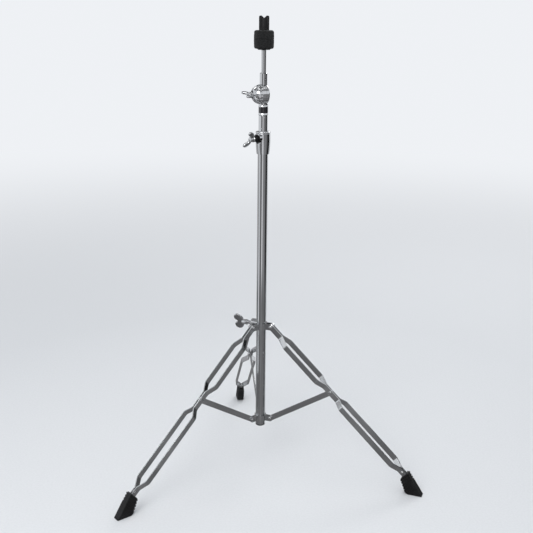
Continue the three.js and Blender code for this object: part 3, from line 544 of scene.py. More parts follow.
def dome(radius, rise, foot, rim=0.3, steps=6):
    """The outline of a domed head, from its rim in to its top."""
    return [(radius, foot)] + arc(0, foot + rim, radius, 0, 90, steps, rise - rim)


pin_azimuth, pin_radius, pin_head, pin_rise = 120, 2, 3.4, 1.4
pin_seat = bracket_ring + seat_gap
pin = spun(
    [(0, ring_gap), (pin_radius, ring_gap), (pin_radius, pin_seat)]
    + dome(pin_head, pin_rise, pin_seat),
    small_sides,
)
place = outward(pin_azimuth, bracket_height) @ along_x
finished("bracket_pin_domed", pin, place, zinc_plate, "base")


def mirrored(outline):
    return [(radius, -height) for radius, height in reversed(outline)]


def rivet_form(half_stack):
    """A rivet along Y with a domed head outside each face of its stack."""
    seat = half_stack + seat_gap
    upper = [(rivet_radius, seat)] + dome(head_radius, head_rise, seat)
    return moved(spun(mirrored(upper) + upper, small_sides), along_y)


for name, azimuth in legs.items():
    place = outward(azimuth, bracket_height, pivot_reach)
    rivet = rivet_form(ear_inner + ear_thickness)
    finished(f"{name}_bracket_rivet_domed", rivet, place, stamped_chrome, "base")

# Leg collar: a cast ring that slides on the tube, chromed, with three pairs of ears for
# the legs and a round boss whose wing bolt presses a nylon pad on the tube.
cast_chrome = chrome("cast chrome", dullness=0.06, wave=0.09)
white_nylon = moulded(
    "natural nylon", "white_nylon", (0.70, 0.69, 0.65), 0.5, 600, 0.03, dust=-0.05, gloss=0.4
)
collar_height = middle("left_pivot_bush").z
collar_half, collar_wall, collar_ear = 7.5, 2.5, 2.3
collar_ear_half, collar_ear_inner = 6.6, 5.1
boss_radius, boss_end, boss_rise, boss_round = 10.5, 24, 3.5, 3
collar_azimuth, pad_radius, pad_length = -120, 5.6, 4
bolt_radius = 4
bolt_hole = bolt_radius + seat_gap


def rod_x(radius, start, end, sides=64):
    return moved(rod(radius, start, end, sides), along_x)


def rounded(form, items, radius, segments, affect="VERTICES", clamped=False):
    bmesh.ops.bevel(
        form, geom=items, offset=radius, offset_type="OFFSET", segments=segments,
        profile=0.5, affect=affect, clamp_overlap=clamped, material=-1,
    )


boss = rod(boss_radius, 0, boss_end)
rim = [
    edge for edge in boss.edges
    if all(vert.co.z > seat_gap and vert.co.xy.length > seat_gap for vert in edge.verts)
]
rounded(boss, rim, boss_round, 6, "EDGES")
boss_frame = shifted(z=boss_rise) @ turned(collar_azimuth - 90) @ along_x
pad_end = ring_gap + pad_length + seat_gap
collar = cut(
    joined(
        rod(ring_gap + collar_wall, -collar_half, collar_half, round_sides),
        *ears(collar_ear_half, collar_ear, collar_ear_inner),
        moved(boss, boss_frame),
    ),
    rod(ring_gap, -boss_end, boss_end, round_sides),
    moved(rod(bolt_hole, 0, boss_end + overrun), boss_frame),
    moved(rod(pad_radius + seat_gap, 0, pad_end), boss_frame),
)
place = at_pole @ shifted(z=collar_height)
finished("leg_collar_cast", collar, place, cast_chrome, "collar", 0.75)
pad = cut(
    rod_x(pad_radius, 0, pad_end - seat_gap),
    rod(ring_gap, -pad_radius - overrun, pad_radius + overrun, round_sides),
)
place = outward(collar_azimuth, collar_height + boss_rise)
finished("collar_pad_nylon", pad, place, white_nylon, "collar", 0.2)
stub_seat = collar_ear_inner + collar_ear + seat_gap
stub = [(0, collar_ear_inner), (rivet_radius, collar_ear_inner), (rivet_radius, stub_seat)]
stub += dome(head_radius, head_rise, stub_seat)
for name, azimuth in legs.items():
    for letter, turn in (("a", 180), ("b", 0)):
        place = outward(azimuth, collar_height, pivot_reach) @ turned(turn) @ along_y
        rivet = spun(stub, small_sides)
        finished(f"{name}_collar_rivet_{letter}_domed", rivet, place, stamped_chrome, "collar")


# Wing bolts: die-cast, chromed, each with a tapered hub and two upright lobes whose
# faces are dished, so that a bright rim runs round a darker hollow. The collar's bolt
# is the largest, and is backed off its boss, so that its stem shows.
hub_foot, hub_top, hub_rim, hub_step, hub_waist, hub_shoulder = 6.6, 5.2, 0.5, 0.6, 1.4, 1.6
wing_thickness, dish_rim, dish_depth, wing_root, wing_levels = 3.4, 1.5, 0.9, -4.0, 3
small_wing = (11, [
    (wing_root, 3.2), (6.4, 3.2), (13.0, 4.8), (19.2, 9.4), (21.4, 15.4),
    (18.8, 21.0), (13.2, 21.2), (9.6, 16.6), (6.6, 10.4), (wing_root, 9.6),
])
large_wing = (14, [
    (wing_root, 8.2), (6.6, 8.2), (14.2, 11.2), (20.8, 17.0), (21.6, 25.2),
    (16.4, 32.0), (8.0, 32.4), (3.6, 28.4), (2.6, 24.6), (wing_root, 24.4),
])


def outlined(corners):
    form = bmesh.new()
    form.faces.new([form.verts.new((x, z, 0)) for x, z in corners])
    return form


def wing_bolt(owner, size, shank, turn, place):
    """Makes an owner's wing bolt, with its hub's foot at the place and its shank behind."""
    hub_height, corners = size
    wings = []
    for half_turn in (0, 180):
        wing = moved(thickened(outlined(corners), wing_thickness), stand_up)
        broad = [face for face in wing.faces if len(face.verts) > 4]
        bmesh.ops.inset_individual(wing, faces=broad, thickness=dish_rim, depth=-dish_depth)
        smooth_wing = settled(wing, ("SUBSURF", {"levels": wing_levels, "render_levels": wing_levels}))
        wings.append(moved(smooth_wing, turned(half_turn)))
    core = spun([
        (0, -shank), (bolt_radius - hub_step, -shank), (bolt_radius, -shank + hub_step),
        (bolt_radius, 0), (hub_foot - hub_rim, 0), (hub_foot, hub_rim), (hub_foot, hub_waist),
        (hub_foot - hub_step, hub_waist + hub_step), (hub_top, hub_height - hub_shoulder),
        (hub_top - hub_rim, hub_height - hub_rim), (hub_top - hub_shoulder, hub_height),
        (0, hub_height),
    ], 64)
    bolt = moved(joined(core, *wings), turned(turn))
    finished(f"{owner}_wing_bolt_cast", bolt, place @ along_x, cast_chrome, f"{owner}_bolt")


collar_bolt_turn, collar_stem = -23, 9.5
place = outward(collar_azimuth, collar_height + boss_rise, boss_end + collar_stem)
wing_bolt("collar", large_wing, boss_end + collar_stem - pad_end, collar_bolt_turn, place)

# Legs: each is two 12.7 x 2.5 mm steel strips, chromed after bending, that run apart,
# come together at the strut's rivet, run apart again and meet in the rubber boot.
strip_chrome = chrome("strip chrome", dullness=0.085, wave=0.05)
pinch_reach, foot_rivet_reach = 200, 440
top_aside, wide_aside, close_aside = 3.55, 16.5, 2.8
strip_line = [
    (-7, top_aside), (33, top_aside), (55, wide_aside), (160, wide_aside), (181, close_aside),
    (224, close_aside), (241, wide_aside), (409, wide_aside), (430, close_aside), (462, close_aside),
]
bend_round, strip_end_round = 3, 6


def strip_form(side):
    form = traced([(along, side * aside, -strip_width / 2) for along, aside in strip_line])
    raised(form, bmesh.ops.extrude_edge_only(form, edges=form.edges[:]), strip_width)
    first, last = strip_line[0][0], strip_line[-1][0]
    rounded(form, [vert for vert in form.verts if vert.co.x < first + seat_gap], strip_end_round, 8)
    bends = [
        edge for edge in form.edges
        if len(edge.link_faces) == 2 and edge.calc_length() > strip_width - seat_gap
        and first + overrun < edge.verts[0].co.x < last - overrun
    ]
    rounded(form, bends, bend_round, 5, "EDGES")
    solidify = {"thickness": strip_thickness, "offset": 0, "use_even_offset": True}
    return settled(form, ("SOLIDIFY", solidify))


def frame_down(name, start, end):
    """The frame at a place in a leg's plane: X towards the end, Y across the leg."""
    down = (end - start).normalized()
    across = (middle(f"{name}_collar_rivet_b") - middle(f"{name}_collar_rivet_a")).normalized()
    turn = Matrix((down, across, down.cross(across))).transposed()
    return Matrix.Translation(start) @ turn.to_4x4()


bush_half, bush_radius, bush_end, bush_sides = 2, 5, 4.65, 48
spacer_radius, spacer_half = 5, 1.25
pinch_stack = strip_thickness * 1.5 + seat_gap
for name in legs:
    leg = frame_down(name, middle(f"{name}_pivot_bush"), middle(f"{name}_foot_rivet"))
    body = f"{name}_leg"
    for letter, side in (("a", -1), ("b", 1)):
        strip = strip_form(side)
        finished(f"{name}_leg_strip_{letter}_plated", strip, leg, strip_chrome, body, 0.45)
    upper = [(bush_radius, bush_half), (rivet_radius, bush_half), (rivet_radius, bush_end), (0, bush_end)]
    bush = spun(mirrored(upper) + upper, bush_sides)
    finished(f"{name}_pivot_bush_turned", bush, leg @ along_y, zinc_plate, body, 0.25)
    rivet, place = rivet_form(pinch_stack), leg @ shifted(pinch_reach)
    finished(f"{name}_pinch_rivet_domed", rivet, place, stamped_chrome, body)
    spacer = moved(rod(spacer_radius, -spacer_half, spacer_half, bush_sides), along_y)
    rivet, place = joined(rivet_form(pinch_stack), spacer), leg @ shifted(foot_rivet_reach)
    finished(f"{name}_foot_rivet_domed", rivet, place, stamped_chrome, body)

# Struts: flat chromed bars with round ends, each between a pair of the bracket's ears
# and the middle of its leg, where the rivet holds it between the two strips.
for name in legs:
    start, end = middle(f"{name}_bracket_rivet"), middle(f"{name}_pinch_rivet")
    strut = bar((end - start).length, strip_width / 2, strip_thickness)
    place = frame_down(name, start, end)
    finished(f"{name}_strut_plated", strut, place, strip_chrome, f"{name}_strut_bar", 0.45)

# Rubber boots: moulded over the strips' ends, with ribs across the flanks and the back,
# a smooth front face, a flat sole and a lip round the strips.
boot_rubber = moulded(
    "boot rubber", "black_rubber", (0.006, 0.006, 0.0065), 0.48, 1100, 0.08, dust=0.010, gloss=0.4
)
boot_outer, boot_inner, boot_width = 12, 13, 19
rib_depth, rib_pitch, rib_width, rib_bevel, rib_reach, round_reach = 1.1, 6, 2.6, 0.4, 66, 24
boot_face, sole_thickness, toe_reach, heel_reach = 5, 6, 43, 5
heel_round, front_round, back_round, mouth_facing = 7, 3.5, 2.0, -0.9
leg_angle, boot_reach, boot_insertion, pocket_across = 46.5, 446, 16, 4.35
leg_sine, leg_cosine = sin(radians(leg_angle)), cos(radians(leg_angle))


def inset(form, faces, edge, depth):
    bmesh.ops.inset_region(
        form, faces=faces, thickness=edge, depth=depth, use_boundary=True, use_even_offset=True
    )


def boot_form():
    """The boot in its leg's upright plane, X out and Z up from the floor."""
    down, across = Vector((leg_sine, 0, -leg_cosine)), Vector((leg_cosine, 0, leg_sine))
    centre = Vector((pivot_reach, 0, collar_height)) + down * boot_reach
    top_outer = (centre + across * boot_outer).xz
    top_inner = (centre - across * (boot_inner - rib_depth)).xz
    toe = Vector((centre.x + toe_reach, 0))
    heel = Vector((centre.x + heel_reach + rib_depth, 0))
    form = outlined([top_outer, top_inner, heel, toe])
    for corner, radius in ((heel, heel_round), (top_outer, front_round), (top_inner, back_round)):
        at_corner = [vert for vert in form.verts if (vert.co.xy - corner).length < seat_gap]
        rounded(form, at_corner, radius, 6)
    form = moved(thickened(form, boot_width - rib_depth * 2), stand_up)
    front = Vector((toe.x, 0, 0))
    face_line = (toe - top_outer).normalized()
    face_normal = Vector((-face_line.y, 0, face_line.x))
    planes = [
        (front - face_normal * boot_face, face_normal),
        (Vector((0, 0, sole_thickness)), Vector((0, 0, 1))),
    ]
    starts = range(0, rib_reach, rib_pitch)
    planes += [(centre + down * (start + rise), down) for start in starts for rise in (0, rib_width)]
    for spot, normal in planes:
        bmesh.ops.bisect_plane(
            form, geom=form.verts[:] + form.edges[:] + form.faces[:],
            plane_co=spot, plane_no=normal, dist=seat_gap / 100,
        )
    for start in starts:
        band = []
        for face in form.faces:
            spot = face.calc_center_median()
            within = start < (spot - centre).dot(down) < start + rib_width and spot.z > sole_thickness
            runs_here = start < round_reach or (front - spot).dot(face_normal) > boot_face
            if within and runs_here and face.normal.dot(down) > mouth_facing:
                band.append(face)
        if band:
            inset(form, band, rib_bevel, rib_depth)
    pocket = bmesh.new()
    bmesh.ops.create_cube(pocket, size=1)
    pocket_size = (boot_insertion + seat_gap + overrun, pocket_across * 2, strip_width + seat_gap * 2)
    bmesh.ops.scale(pocket, vec=pocket_size, verts=pocket.verts)
    lean = Matrix.Translation(centre) @ turned(90 - leg_angle, "Y")
    return cut(form, moved(pocket, lean @ shifted((boot_insertion + seat_gap - overrun) / 2)))


for name, azimuth in legs.items():
    finished(
        f"{name}_rubber_boot", boot_form(), outward(azimuth, 0), boot_rubber, f"{name}_leg", 0.35,
        node=f"{name}_rubber_foot",
    )

# Tube clamp: a pressed, barrel-shaped shell over the tube's top with a rolled rim. A
# hood stands out of it and shelters the lug of the nylon bushing inside.
clamp_azimuth, clamp_drop = -57, 15
clamp_low, clamp_top = heights("tube_clamp")
clamp_bolt_height = clamp_top - clamp_drop
clamp_foot, clamp_swell, swell_angle, barrel_steps = 13.6, 2.0, 126, 14
bead_radius, bead_out, bead_start, bead_steps, groove_radius = 2.6, 15.9, -60, 10, 14.7
middle_outer, middle_inner = 9.525, 8.325
rim_inner, rim_height = middle_outer + seat_gap * 2, 3
hood_outer, hood_wall, hood_skirt, hood_end, hood_sides = 10.8, 1.6, 2, 17.4, 72

barrel_rise = clamp_top - clamp_low - bead_radius * 2 - seat_gap
shell = [(0, clamp_low)]
for share in shares(barrel_steps):
    swell = clamp_swell * sin(radians(swell_angle * share))
    shell.append((clamp_foot + swell, clamp_low + barrel_rise * share))
shell.append((groove_radius, clamp_top - bead_radius * 2))
shell += arc(bead_out - bead_radius, clamp_top - bead_radius, bead_radius, bead_start, 90, bead_steps)
shell.append((0, clamp_top))
clamp_bore = [
    (0, clamp_low - overrun), (ring_gap, clamp_low - overrun),
    (ring_gap, clamp_top - rim_height), (rim_inner, clamp_top - rim_height),
    (rim_inner, clamp_top + overrun), (0, clamp_top + overrun),
]


def arch_form(radius, skirt, start, end):
    """A round-topped block along X, flat below at a skirt's depth."""
    form = bmesh.new()
    bmesh.ops.create_circle(form, cap_ends=True, segments=hood_sides, radius=radius)
    for vert in form.verts:
        if vert.co.y < -seat_gap / 10:
            vert.co.y = -skirt
    upright = shifted((start + end) / 2, 0, clamp_bolt_height) @ turned(90) @ stand_up
    return moved(thickened(form, end - start), upright)


clamp = cut(
    joined(spun(shell), arch_form(hood_outer, hood_skirt, 0, hood_end)),
    spun(clamp_bore),
    arch_form(hood_outer - hood_wall, hood_outer, ring_gap - overrun * 2, hood_end + overrun),
)
clamp_frame = outward(clamp_azimuth, 0)
finished("tube_clamp_pressed", clamp, clamp_frame, cast_chrome, "base", 0.4, 28)

# Clamp bushing: a black nylon sleeve that grips the middle tube, with a lug that holds
# a captive nut. The nut's round boss meets the wing bolt's hub.
black_nylon = moulded(
    "black nylon", "black_nylon", (0.005, 0.005, 0.0055), 0.42, 700, 0.03, dust=0.005
)
bushing_low, bushing_length = tube_high + seat_gap, 17.4
bushing_inner, bushing_outer = middle_outer + seat_gap, ring_gap - seat_gap
lug_radius, lug_end = hood_outer - hood_wall - seat_gap, hood_end - seat_gap
nut_half, nut_depth, nut_boss, nut_end = 6.5, 5, 6, 27.2
nut_place = lug_end - nut_depth
at_bolt = shifted(z=clamp_bolt_height) @ along_x


def hexagon(half, start, end):
    return rod(half / cos(pi / 6), start, end, 6)


bushing = cut(
    joined(
        rod(bushing_outer, bushing_low, bushing_low + bushing_length, round_sides),
        moved(rod(lug_radius, rim_inner, lug_end, hood_sides), at_bolt),
    ),
    rod(bushing_inner, bushing_low - overrun, clamp_top, round_sides),
    rod(ring_gap, clamp_low, bushing_low, round_sides),
    moved(rod(bolt_hole, bushing_inner, lug_end + overrun), at_bolt),
    moved(hexagon(nut_half + seat_gap, nut_place - seat_gap, lug_end + overrun), at_bolt),
)
finished("clamp_bushing_nylon", bushing, clamp_frame, black_nylon, "base", 0.3)
clamp_nut = cut(
    joined(hexagon(nut_half, nut_place, lug_end), rod(nut_boss, nut_place, nut_end)),
    rod(bolt_hole, 0, nut_end + overrun),
)
finished("clamp_nut_nylon", clamp_nut, clamp_frame @ at_bolt, black_nylon, "base", 0.4)
clamp_bolt_turn, clamp_bolt_seat, shank_room = -35, nut_end + seat_gap, 1
clamp_shank = clamp_bolt_seat - (bushing_inner + shank_room) - seat_gap
place = outward(clamp_azimuth, clamp_bolt_height, clamp_bolt_seat)
wing_bolt("clamp", small_wing, clamp_shank, clamp_bolt_turn, place)

# Middle tube: 19 mm chromed tube that slides and swivels in the clamp. A nylon plug
# guides its lower end, and a pin near its top holds the tilter's spigot.
middle_low, middle_high = heights("middle_tube")
tube = ring(middle_inner, middle_outer, middle_low, middle_high)
finished("middle_tube_plated", tube, at_pole, drawn_chrome, "mast", tube_round)
plug_flange, plug_length, plug_chamfer = 4, 16, 0.8
plug_wide, plug_narrow = tube_inner - seat_gap, middle_inner - seat_gap
plug_seat = middle_low - seat_gap
plug_low, plug_high = plug_seat - plug_flange, plug_seat + plug_length
plug = spun([
    (0, plug_low), (plug_wide - plug_chamfer, plug_low), (plug_wide, plug_low + plug_chamfer),
    (plug_wide, plug_seat), (plug_narrow, plug_seat), (plug_narrow, plug_high - plug_chamfer),
    (plug_narrow - plug_chamfer, plug_high), (0, plug_high),
])
node = "middle_tube_end_plug"
finished("middle_tube_plug_nylon", plug, at_pole, white_nylon, "glide", 0.2, node=node)
tube_pin_azimuth, tube_pin_radius, tube_pin_tip, tube_pin_proud = 15, 1.6, 3, 0.4
tube_pin_drop, pin_ease, pin_edge, dimple_radius = 5.3, 0.3, 0.4, 0.5
pin_face = middle_outer + tube_pin_proud
tube_pin = spun([
    (0, tube_pin_tip), (tube_pin_radius, tube_pin_tip),
    (tube_pin_radius, pin_face - pin_ease), (tube_pin_radius - pin_edge, pin_face),
    (dimple_radius, pin_face), (0, pin_face - pin_edge),
], small_sides)
place = outward(tube_pin_azimuth, middle_high - tube_pin_drop) @ along_x
finished("tube_pin_turned", tube_pin, place, zinc_plate, "mast")

# Lower tilter: a casting, chromed, whose spigot sits in the middle tube. Its domed half
# is fluted round the flank, and its face has sixteen radial ratchet teeth.
tilt_azimuth = -78
tilt_height = middle("tilter_washer").z
tilter_radius, seam_half = 20.5, 0.15
dome_centre, dome_end_angle, dome_steps = 7, 62, 14
recess_radius, recess_lip, washer_seat = 9, 25.4, 21.3
tooth_inner, tooth_outer, tooth_depth, tooth_count = 8.6, 17.4, 0.9, 16
tooth_profile = (0, 0, 0.5, 1, 1, 1, 0.5, 0)
ring_steps = tooth_count * len(tooth_profile)
spring_pocket, spring_pocket_depth = 7, 4
flute_edge, flute_depth, flute_share = 0.5, 0.5, 0.26
flute_low, flute_high, flute_inner = dome_centre + 1.6, dome_centre + 16.4, recess_radius + 1.5
socket_radius, socket_round, socket_ease, spigot_length = 10.4, 1.2, 0.3, 25
spigot_radius = middle_inner - seat_gap
socket_low = middle_high + seat_gap - tilt_height
label_low, label_high, label_depth = socket_low + 4.9, socket_low + 17.6, 0.8
swing_clearance = 0.6

tooth_limits = tooth_inner, tooth_inner + tooth_depth, tooth_outer - tooth_depth, tooth_outer
tooth_face = [(radius, seam_half) for radius in (0, *tooth_limits, tilter_radius)]


def toothed(form, shift=0):
    """Sinks every other sector of the ring between the teeth's ends."""
    for vert in form.verts:
        radius = vert.co.xy.length
        on_ring = tooth_inner + seat_gap < radius < tooth_outer - seat_gap
        if on_ring and abs(vert.co.z - seam_half) <= seat_gap / 3:
            step = round(atan2(vert.co.y, vert.co.x) / tau * ring_steps) + shift
            vert.co.z += tooth_depth * tooth_profile[step % len(tooth_profile)]
    return form


flank = arc(0, dome_centre, tilter_radius, 0, dome_end_angle, dome_steps)
recess_floor = washer_seat - seat_gap
recess = [(recess_radius, recess_lip), (recess_radius, recess_floor), (0, recess_floor)]
near_half = toothed(cleaned(spun(tooth_face + flank + recess, ring_steps)))
for flute in range(tooth_count):
    trough = []
    for face in near_half.faces:
        spot = face.calc_center_median()
        on_flank = flute_low < spot.z < flute_high and spot.xy.length > flute_inner
        off = atan2(spot.y, spot.x) / tau * tooth_count - flute
        if on_flank and abs((off + tooth_count / 2) % tooth_count - tooth_count / 2) < flute_share:
            trough.append(face)
    inset(near_half, trough, flute_edge, -flute_depth)
lip_depth, lip_steps, lip_lean, upper_lip = 1.1, 8, 0.45, 4.4


def lip(low, high):
    """A moulding on the socket that swells low down and leans in towards its top."""
    outline = []
    for share in shares(lip_steps):
        swell = sin(pi * share ** lip_lean)
        outline.append((socket_radius - lip_depth * (1 - swell), low + (high - low) * share))
    return outline


def swing_path(start, end):
    return rod_x(tilter_radius + swing_clearance, start, end, round_sides)


def in_tilter(azimuth, height):
    """The place of a hole that points out at an azimuth, in the tilter's frame."""
    return shifted(z=height) @ turned(azimuth - tilt_azimuth) @ along_x


socket = spun([
    (0, socket_low - spigot_length),
    (spigot_radius - socket_round, socket_low - spigot_length),
    (spigot_radius, socket_low - spigot_length + socket_round), (spigot_radius, socket_low),
    *lip(socket_low, label_low), (socket_radius - label_depth, label_low),
    (socket_radius - label_depth, label_high), *lip(label_high, label_high + upper_lip),
    (socket_radius - socket_ease, label_high + upper_lip),
    (socket_radius - socket_ease, -dome_centre), (0, -dome_centre),
])
pin_hole = rod(tube_pin_radius + seat_gap, tube_pin_tip - seat_gap, middle_outer + overrun)
lower_half = cut(
    joined(moved(near_half, along_x), cut(socket, swing_path(-tilter_radius, tooth_depth))),
    rod_x(bolt_hole, -overrun, washer_seat + overrun),
    rod_x(spring_pocket, -overrun, spring_pocket_depth),
    moved(pin_hole, in_tilter(tube_pin_azimuth, middle_high - tube_pin_drop - tilt_height)),
)
tilter_frame = outward(tilt_azimuth, tilt_height)
finished("lower_tilter_cast", lower_half, tilter_frame, cast_chrome, "mast", 0.3, 38)

# Label band: a bare glossy black sleeve let into the socket, under a clear lacquer that
# has a faint haze.
band_finish = Finish("black lacquer band", "label_paint", Coat_Weight=0.6, Coat_Roughness=0.08)
band_haze = band_finish.tone.grain(30, 4)
band_lacquer = band_finish.wire(
    Base_Color=band_haze.between((0.005, 0.005, 0.007), (0.012, 0.012, 0.015)),
    Roughness=band_haze * 0.12 + 0.16,
)
band_inner, band_outer = socket_radius - label_depth + seat_gap, socket_radius - seat_gap
band = ring(band_inner, band_outer, label_low + seat_gap, label_high - seat_gap)
finished("label_band_bare", band, tilter_frame, band_lacquer, "mast", 0.05)

# Tilter spring: an open coil of spring wire round the bolt. It parts the two halves
# when the bolt is slack, so that the teeth can be set anew.
coil_radius, wire_radius, wire_sides, coil_turns, coil_steps = 5.6, 0.5, 12, 3, 96
coil_low = -spring_pocket_depth / 2 + wire_radius + seat_gap
coil_high = spring_pocket_depth - wire_radius - seat_gap
coil = bmesh.new()
bmesh.ops.create_circle(coil, cap_ends=False, segments=wire_sides, radius=wire_radius)
moved(coil, shifted(coil_radius, 0, coil_low) @ stand_up)
swept(coil, 360 * coil_turns, coil_steps, (coil_high - coil_low) / coil_steps)
bmesh.ops.holes_fill(coil, edges=coil.edges, sides=0)
finished("tilter_spring_coiled", coil, tilter_frame @ along_x, zinc_plate, "mast")

# Tilter washer and wing bolt: a turned washer on the dome's boss, and the bolt that
# draws the two halves together.
washer_radius, washer_thickness, washer_sides = 8.4, 1.4, 80
washer_top = washer_seat + washer_thickness
washer = ring(bolt_hole, washer_radius, washer_seat, washer_top, washer_sides)
finished("tilter_washer_turned", washer, tilter_frame @ along_x, zinc_plate, "mast", 0.25)
tilter_bolt_turn, tilter_bolt_seat = 80, washer_top + seat_gap
far_thickness, far_round, far_steps = 8.2, 4.5, 8
tilter_shank = tilter_bolt_seat + far_thickness - seat_gap
place = outward(tilt_azimuth, tilt_height, tilter_bolt_seat)
wing_bolt("tilter", small_wing, tilter_shank, tilter_bolt_turn, place)

# Upper tilter: the thinner toothed half, cast in one with the neck that holds the rod.
# A set screw in the neck grips the rod.
neck_radius, neck_top, neck_chamfer = 7.9, 44.5, 1.0
rod_radius, rod_seat = 5, 25
screw_azimuth, screw_radius, screw_height, screw_sunk = 18, 2.5, 31, 0.6
screw_chamfer, key_half, key_depth = 0.3, 1.2, 1.2
back = arc(tilter_radius - far_round, far_thickness - far_round, far_round, 0, 90, far_steps)
far_half = cleaned(spun(tooth_face + back + [(0, far_thickness)], ring_steps))
neck = spun([
    (0, 0), (neck_radius, 0), (neck_radius, neck_top - neck_chamfer),
    (neck_radius - neck_chamfer, neck_top), (0, neck_top),
])
screw_turn = in_tilter(screw_azimuth, screw_height)
upper_half = cut(
    joined(
        moved(toothed(far_half, len(tooth_profile) // 2), turned(180) @ along_x),
        cut(neck, swing_path(-tooth_depth, tilter_radius)),
    ),
    rod_x(bolt_hole, -far_thickness - overrun, overrun),
    rod_x(spring_pocket, -spring_pocket_depth / 2, overrun),
    rod(rod_radius + seat_gap, rod_seat, neck_top + overrun),
    moved(rod(screw_radius + seat_gap, 0, neck_radius + overrun), screw_turn),
)
finished("upper_tilter_cast", upper_half, tilter_frame, cast_chrome, "tilter_head", 0.35, 38)
screw_face = neck_radius - screw_sunk
screw = cut(
    spun([
        (0, rod_radius + seat_gap), (screw_radius, rod_radius + seat_gap),
        (screw_radius, screw_face - screw_chamfer),
        (screw_radius - screw_chamfer, screw_face), (0, screw_face),
    ], small_sides),
    hexagon(key_half, screw_face - key_depth, screw_face + overrun),
)
finished("rod_set_screw_turned", screw, tilter_frame @ screw_turn, zinc_plate, "tilter_head")

# Cymbal rod: 10 mm bright steel, chromed. It stands in the neck and has an M8 thread
# from the shoulder up.
shoulder = heights("seat_washer")[0] - seat_gap
rod_low, rod_high = heights("cymbal_rod")
rod_chamfer, tip_chamfer, rod_sides = 0.8, 1.12, 72
thread_pitch, thread_depth, crest_start, crest_end = 1.25, 0.55, 0.4, 0.6
thread_root = bolt_radius - thread_depth
thread = []
height = shoulder
while height < rod_high - rod_chamfer - thread_pitch:
    thread += [
        (thread_root, height), (bolt_radius, height + thread_pitch * crest_start),
        (bolt_radius, height + thread_pitch * crest_end),
    ]
    height += thread_pitch
cymbal_rod = spun([
    (0, rod_low), (rod_radius, rod_low), (rod_radius, shoulder - rod_chamfer),
    (rod_radius - rod_chamfer, shoulder), *thread, (thread_root, height),
    (thread_root, rod_high - rod_chamfer), (bolt_radius - tip_chamfer, rod_high),
    (0, rod_high),
], rod_sides)
finished("cymbal_rod_plated", cymbal_rod, at_pole, drawn_chrome, "tilter_head")

# Seat: a zinc washer on the rod's shoulder, and a black plastic sleeve that keeps the
# cymbal off the thread. Its flange is as wide as the felt and covers the washer.
seat_washer_radius = 11
washer_low, washer_high = heights("seat_washer")
washer = ring(bolt_hole, seat_washer_radius, washer_low, washer_high, washer_sides)
finished("seat_washer_turned", washer, at_pole, zinc_plate, "tilter_head", 0.3)
sleeve_low, sleeve_high = heights("cymbal_sleeve")
sleeve_flange, sleeve_radius = 3.4, 5.5
brim = [(12.5, 0), (13.5, 1.4), (16.6, 2.2), (19, 2.6), (19.6, 3.1), (19.6, sleeve_flange)]
sleeve_recess, recess_roof = seat_washer_radius + seat_gap, washer_high + seat_gap
sleeve = spun([
    (bolt_hole, recess_roof), (sleeve_recess, recess_roof), (sleeve_recess, sleeve_low),
    *((radius, sleeve_low + rise) for radius, rise in brim),
    (sleeve_radius, sleeve_low + sleeve_flange), (sleeve_radius, sleeve_high),
    (bolt_hole, sleeve_high), (bolt_hole, recess_roof),
], washer_sides)
finished("cymbal_sleeve_moulded", sleeve, at_pole, black_plastic, "tilter_head", 0.3)

# Felts: two thick discs of pressed charcoal wool, a little swollen at the middle, with
# an uneven skin, pale flecks and loose fibres.
felt_finish = Finish(
    "charcoal felt", "charcoal_felt",
    Roughness=1.0, Sheen_Weight=0.06, Sheen_Roughness=0.6, Specular_IOR_Level=0.2,
)
fibre_scale, fleck_scale, patch_scale, wool_relief, fleck_relief = 520, 900, 70, 0.9, 0.5
fibre_share, patch_share, fleck_share = 0.45, 0.25, 0.3
fibres = felt_finish.tone.grain(fibre_scale, 9)
flecks = felt_finish.tone.grain(fleck_scale, 2).over(0.64, 0.05)
patches = felt_finish.tone.grain(patch_scale, 4)
wool_tone = fibres.over(0.32, 0.45) * fibre_share + patches * patch_share + flecks * fleck_share
charcoal_felt = felt_finish.wire(
    Base_Color=wool_tone.between((0.001, 0.001, 0.001), (0.034, 0.034, 0.035)),
    Normal=(fibres + flecks * fleck_relief).relief(wool_relief),
)
felt_radius, felt_hole, felt_flat, felt_sides = 21.2, 5.8, 10, 120
tight_round, lower_round, top_round = 0.8, 1.8, 4.6
lower_waist, top_waist = 20.9, 20.8
round_steps, side_steps = 6, 12
lump, lump_size, lump_sink, lump_start = 0.3, 0.28, 0.12, 6.8


def felt_form(low, high, low_radius, high_radius, low_round, high_round):
    """A felt whose side swells between its two rims, with a lumpy skin."""
    side = []
    rise = high - low - low_round - high_round
    for share in shares(side_steps)[1:-1]:
        swell = sin(pi / 2 * (share if high_radius > low_radius else 1 - share))
        reach = min(low_radius, high_radius) + abs(high_radius - low_radius) * swell
        side.append((reach, low + low_round + rise * share))
    outline = [
        (felt_hole, low), (felt_flat, low),
        *arc(low_radius - low_round, low + low_round, low_round, -90, 0, round_steps), *side,
        *arc(high_radius - high_round, high - high_round, high_round, 0, 90, round_steps),
        (felt_flat, high), (felt_hole, high), (felt_hole, (low + high) / 2), (felt_hole, low),
    ]
    form = cleaned(spun(outline, felt_sides))
    for vert in form.verts:
        reach = vert.co.xy.length
        if reach > lump_start:
            swell = noise.noise(vert.co * lump_size) * lump - lump_sink
            vert.co.xy *= 1 + swell / reach
    return form


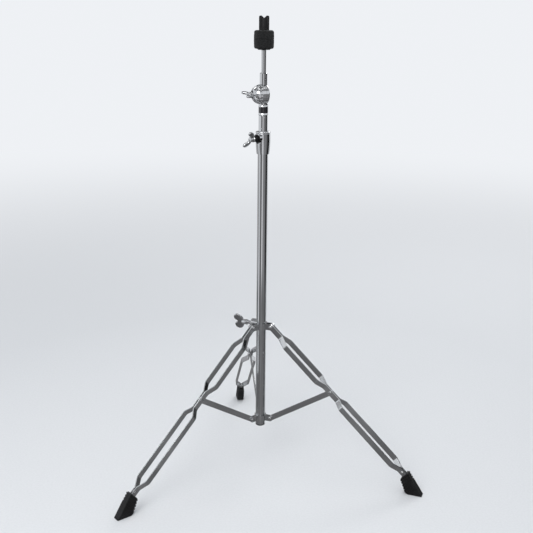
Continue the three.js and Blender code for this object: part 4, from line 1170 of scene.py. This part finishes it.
felts = {
    "lower_felt": ("tilter_head", lower_waist, felt_radius, lower_round, tight_round),
    "upper_felt": ("top_felt", felt_radius, top_waist, tight_round, top_round),
}
for node, (body, *shape) in felts.items():
    felt = felt_form(*heights(node), *shape)
    finished(f"{node}_pressed", felt, at_pole, charcoal_felt, body, crease=60)

# Wing nut: moulded in black plastic round a threaded insert. Two flat wings with round
# tops stand on a conical base, with a hub between them.
nut_plastic = moulded(
    "grained nut plastic", "black_plastic", (0.008, 0.008, 0.0085), 0.5, 1200, 0.1, dust=0.008
)
nut_height, nut_span, nut_base, nut_wing, nut_azimuth = 28.8, 10.7, 3.2, 6.6, -9
nut_corner, dip_half, dip_depth, dip_steps = 3.1, 5.8, 4.2, 12
hub_low, hub_high_radius, hub_rise = 7.6, 6.4, 24.4
insert_radius, insert_height, insert_inset = 6.1, 10, 0.6
nut_low = heights("wing_nut")[0]
nut_corners = [(-nut_span, 0), (nut_span, 0), (nut_span, nut_height)]
for share in shares(dip_steps):
    across = dip_half * (1 - 2 * share)
    dip = dip_depth / 2 * (1 + cos(pi * across / dip_half))
    nut_corners.append((across, nut_height - dip))
nut_corners.append((-nut_span, nut_height))
nut_plate = outlined(nut_corners)
tops = [
    vert for vert in nut_plate.verts
    if vert.co.y > nut_base and abs(vert.co.x) > nut_span - seat_gap
]
rounded(nut_plate, tops, nut_corner, 8, clamped=True)
nut_hub = spun([
    (0, 0), (nut_span, 0), (nut_span, nut_base), (hub_low, nut_base + nut_span - hub_low),
    (hub_high_radius, hub_rise), (0, hub_rise),
], washer_sides)
nut = cut(
    joined(nut_hub, moved(thickened(nut_plate, nut_wing), stand_up)),
    rod(bolt_hole, -overrun, rod_high + seat_gap - nut_low),
    rod(insert_radius + seat_gap, -overrun, insert_inset + insert_height + seat_gap),
)
place = at_pole @ shifted(z=nut_low) @ turned(nut_azimuth)
finished("wing_nut_moulded", nut, place, nut_plastic, "top_nut", 0.7)
insert_low = nut_low + insert_inset
insert = ring(bolt_hole, insert_radius, insert_low, insert_low + insert_height, washer_sides)
finished("wing_nut_insert_turned", insert, at_pole, zinc_plate, "top_nut", 0.3)
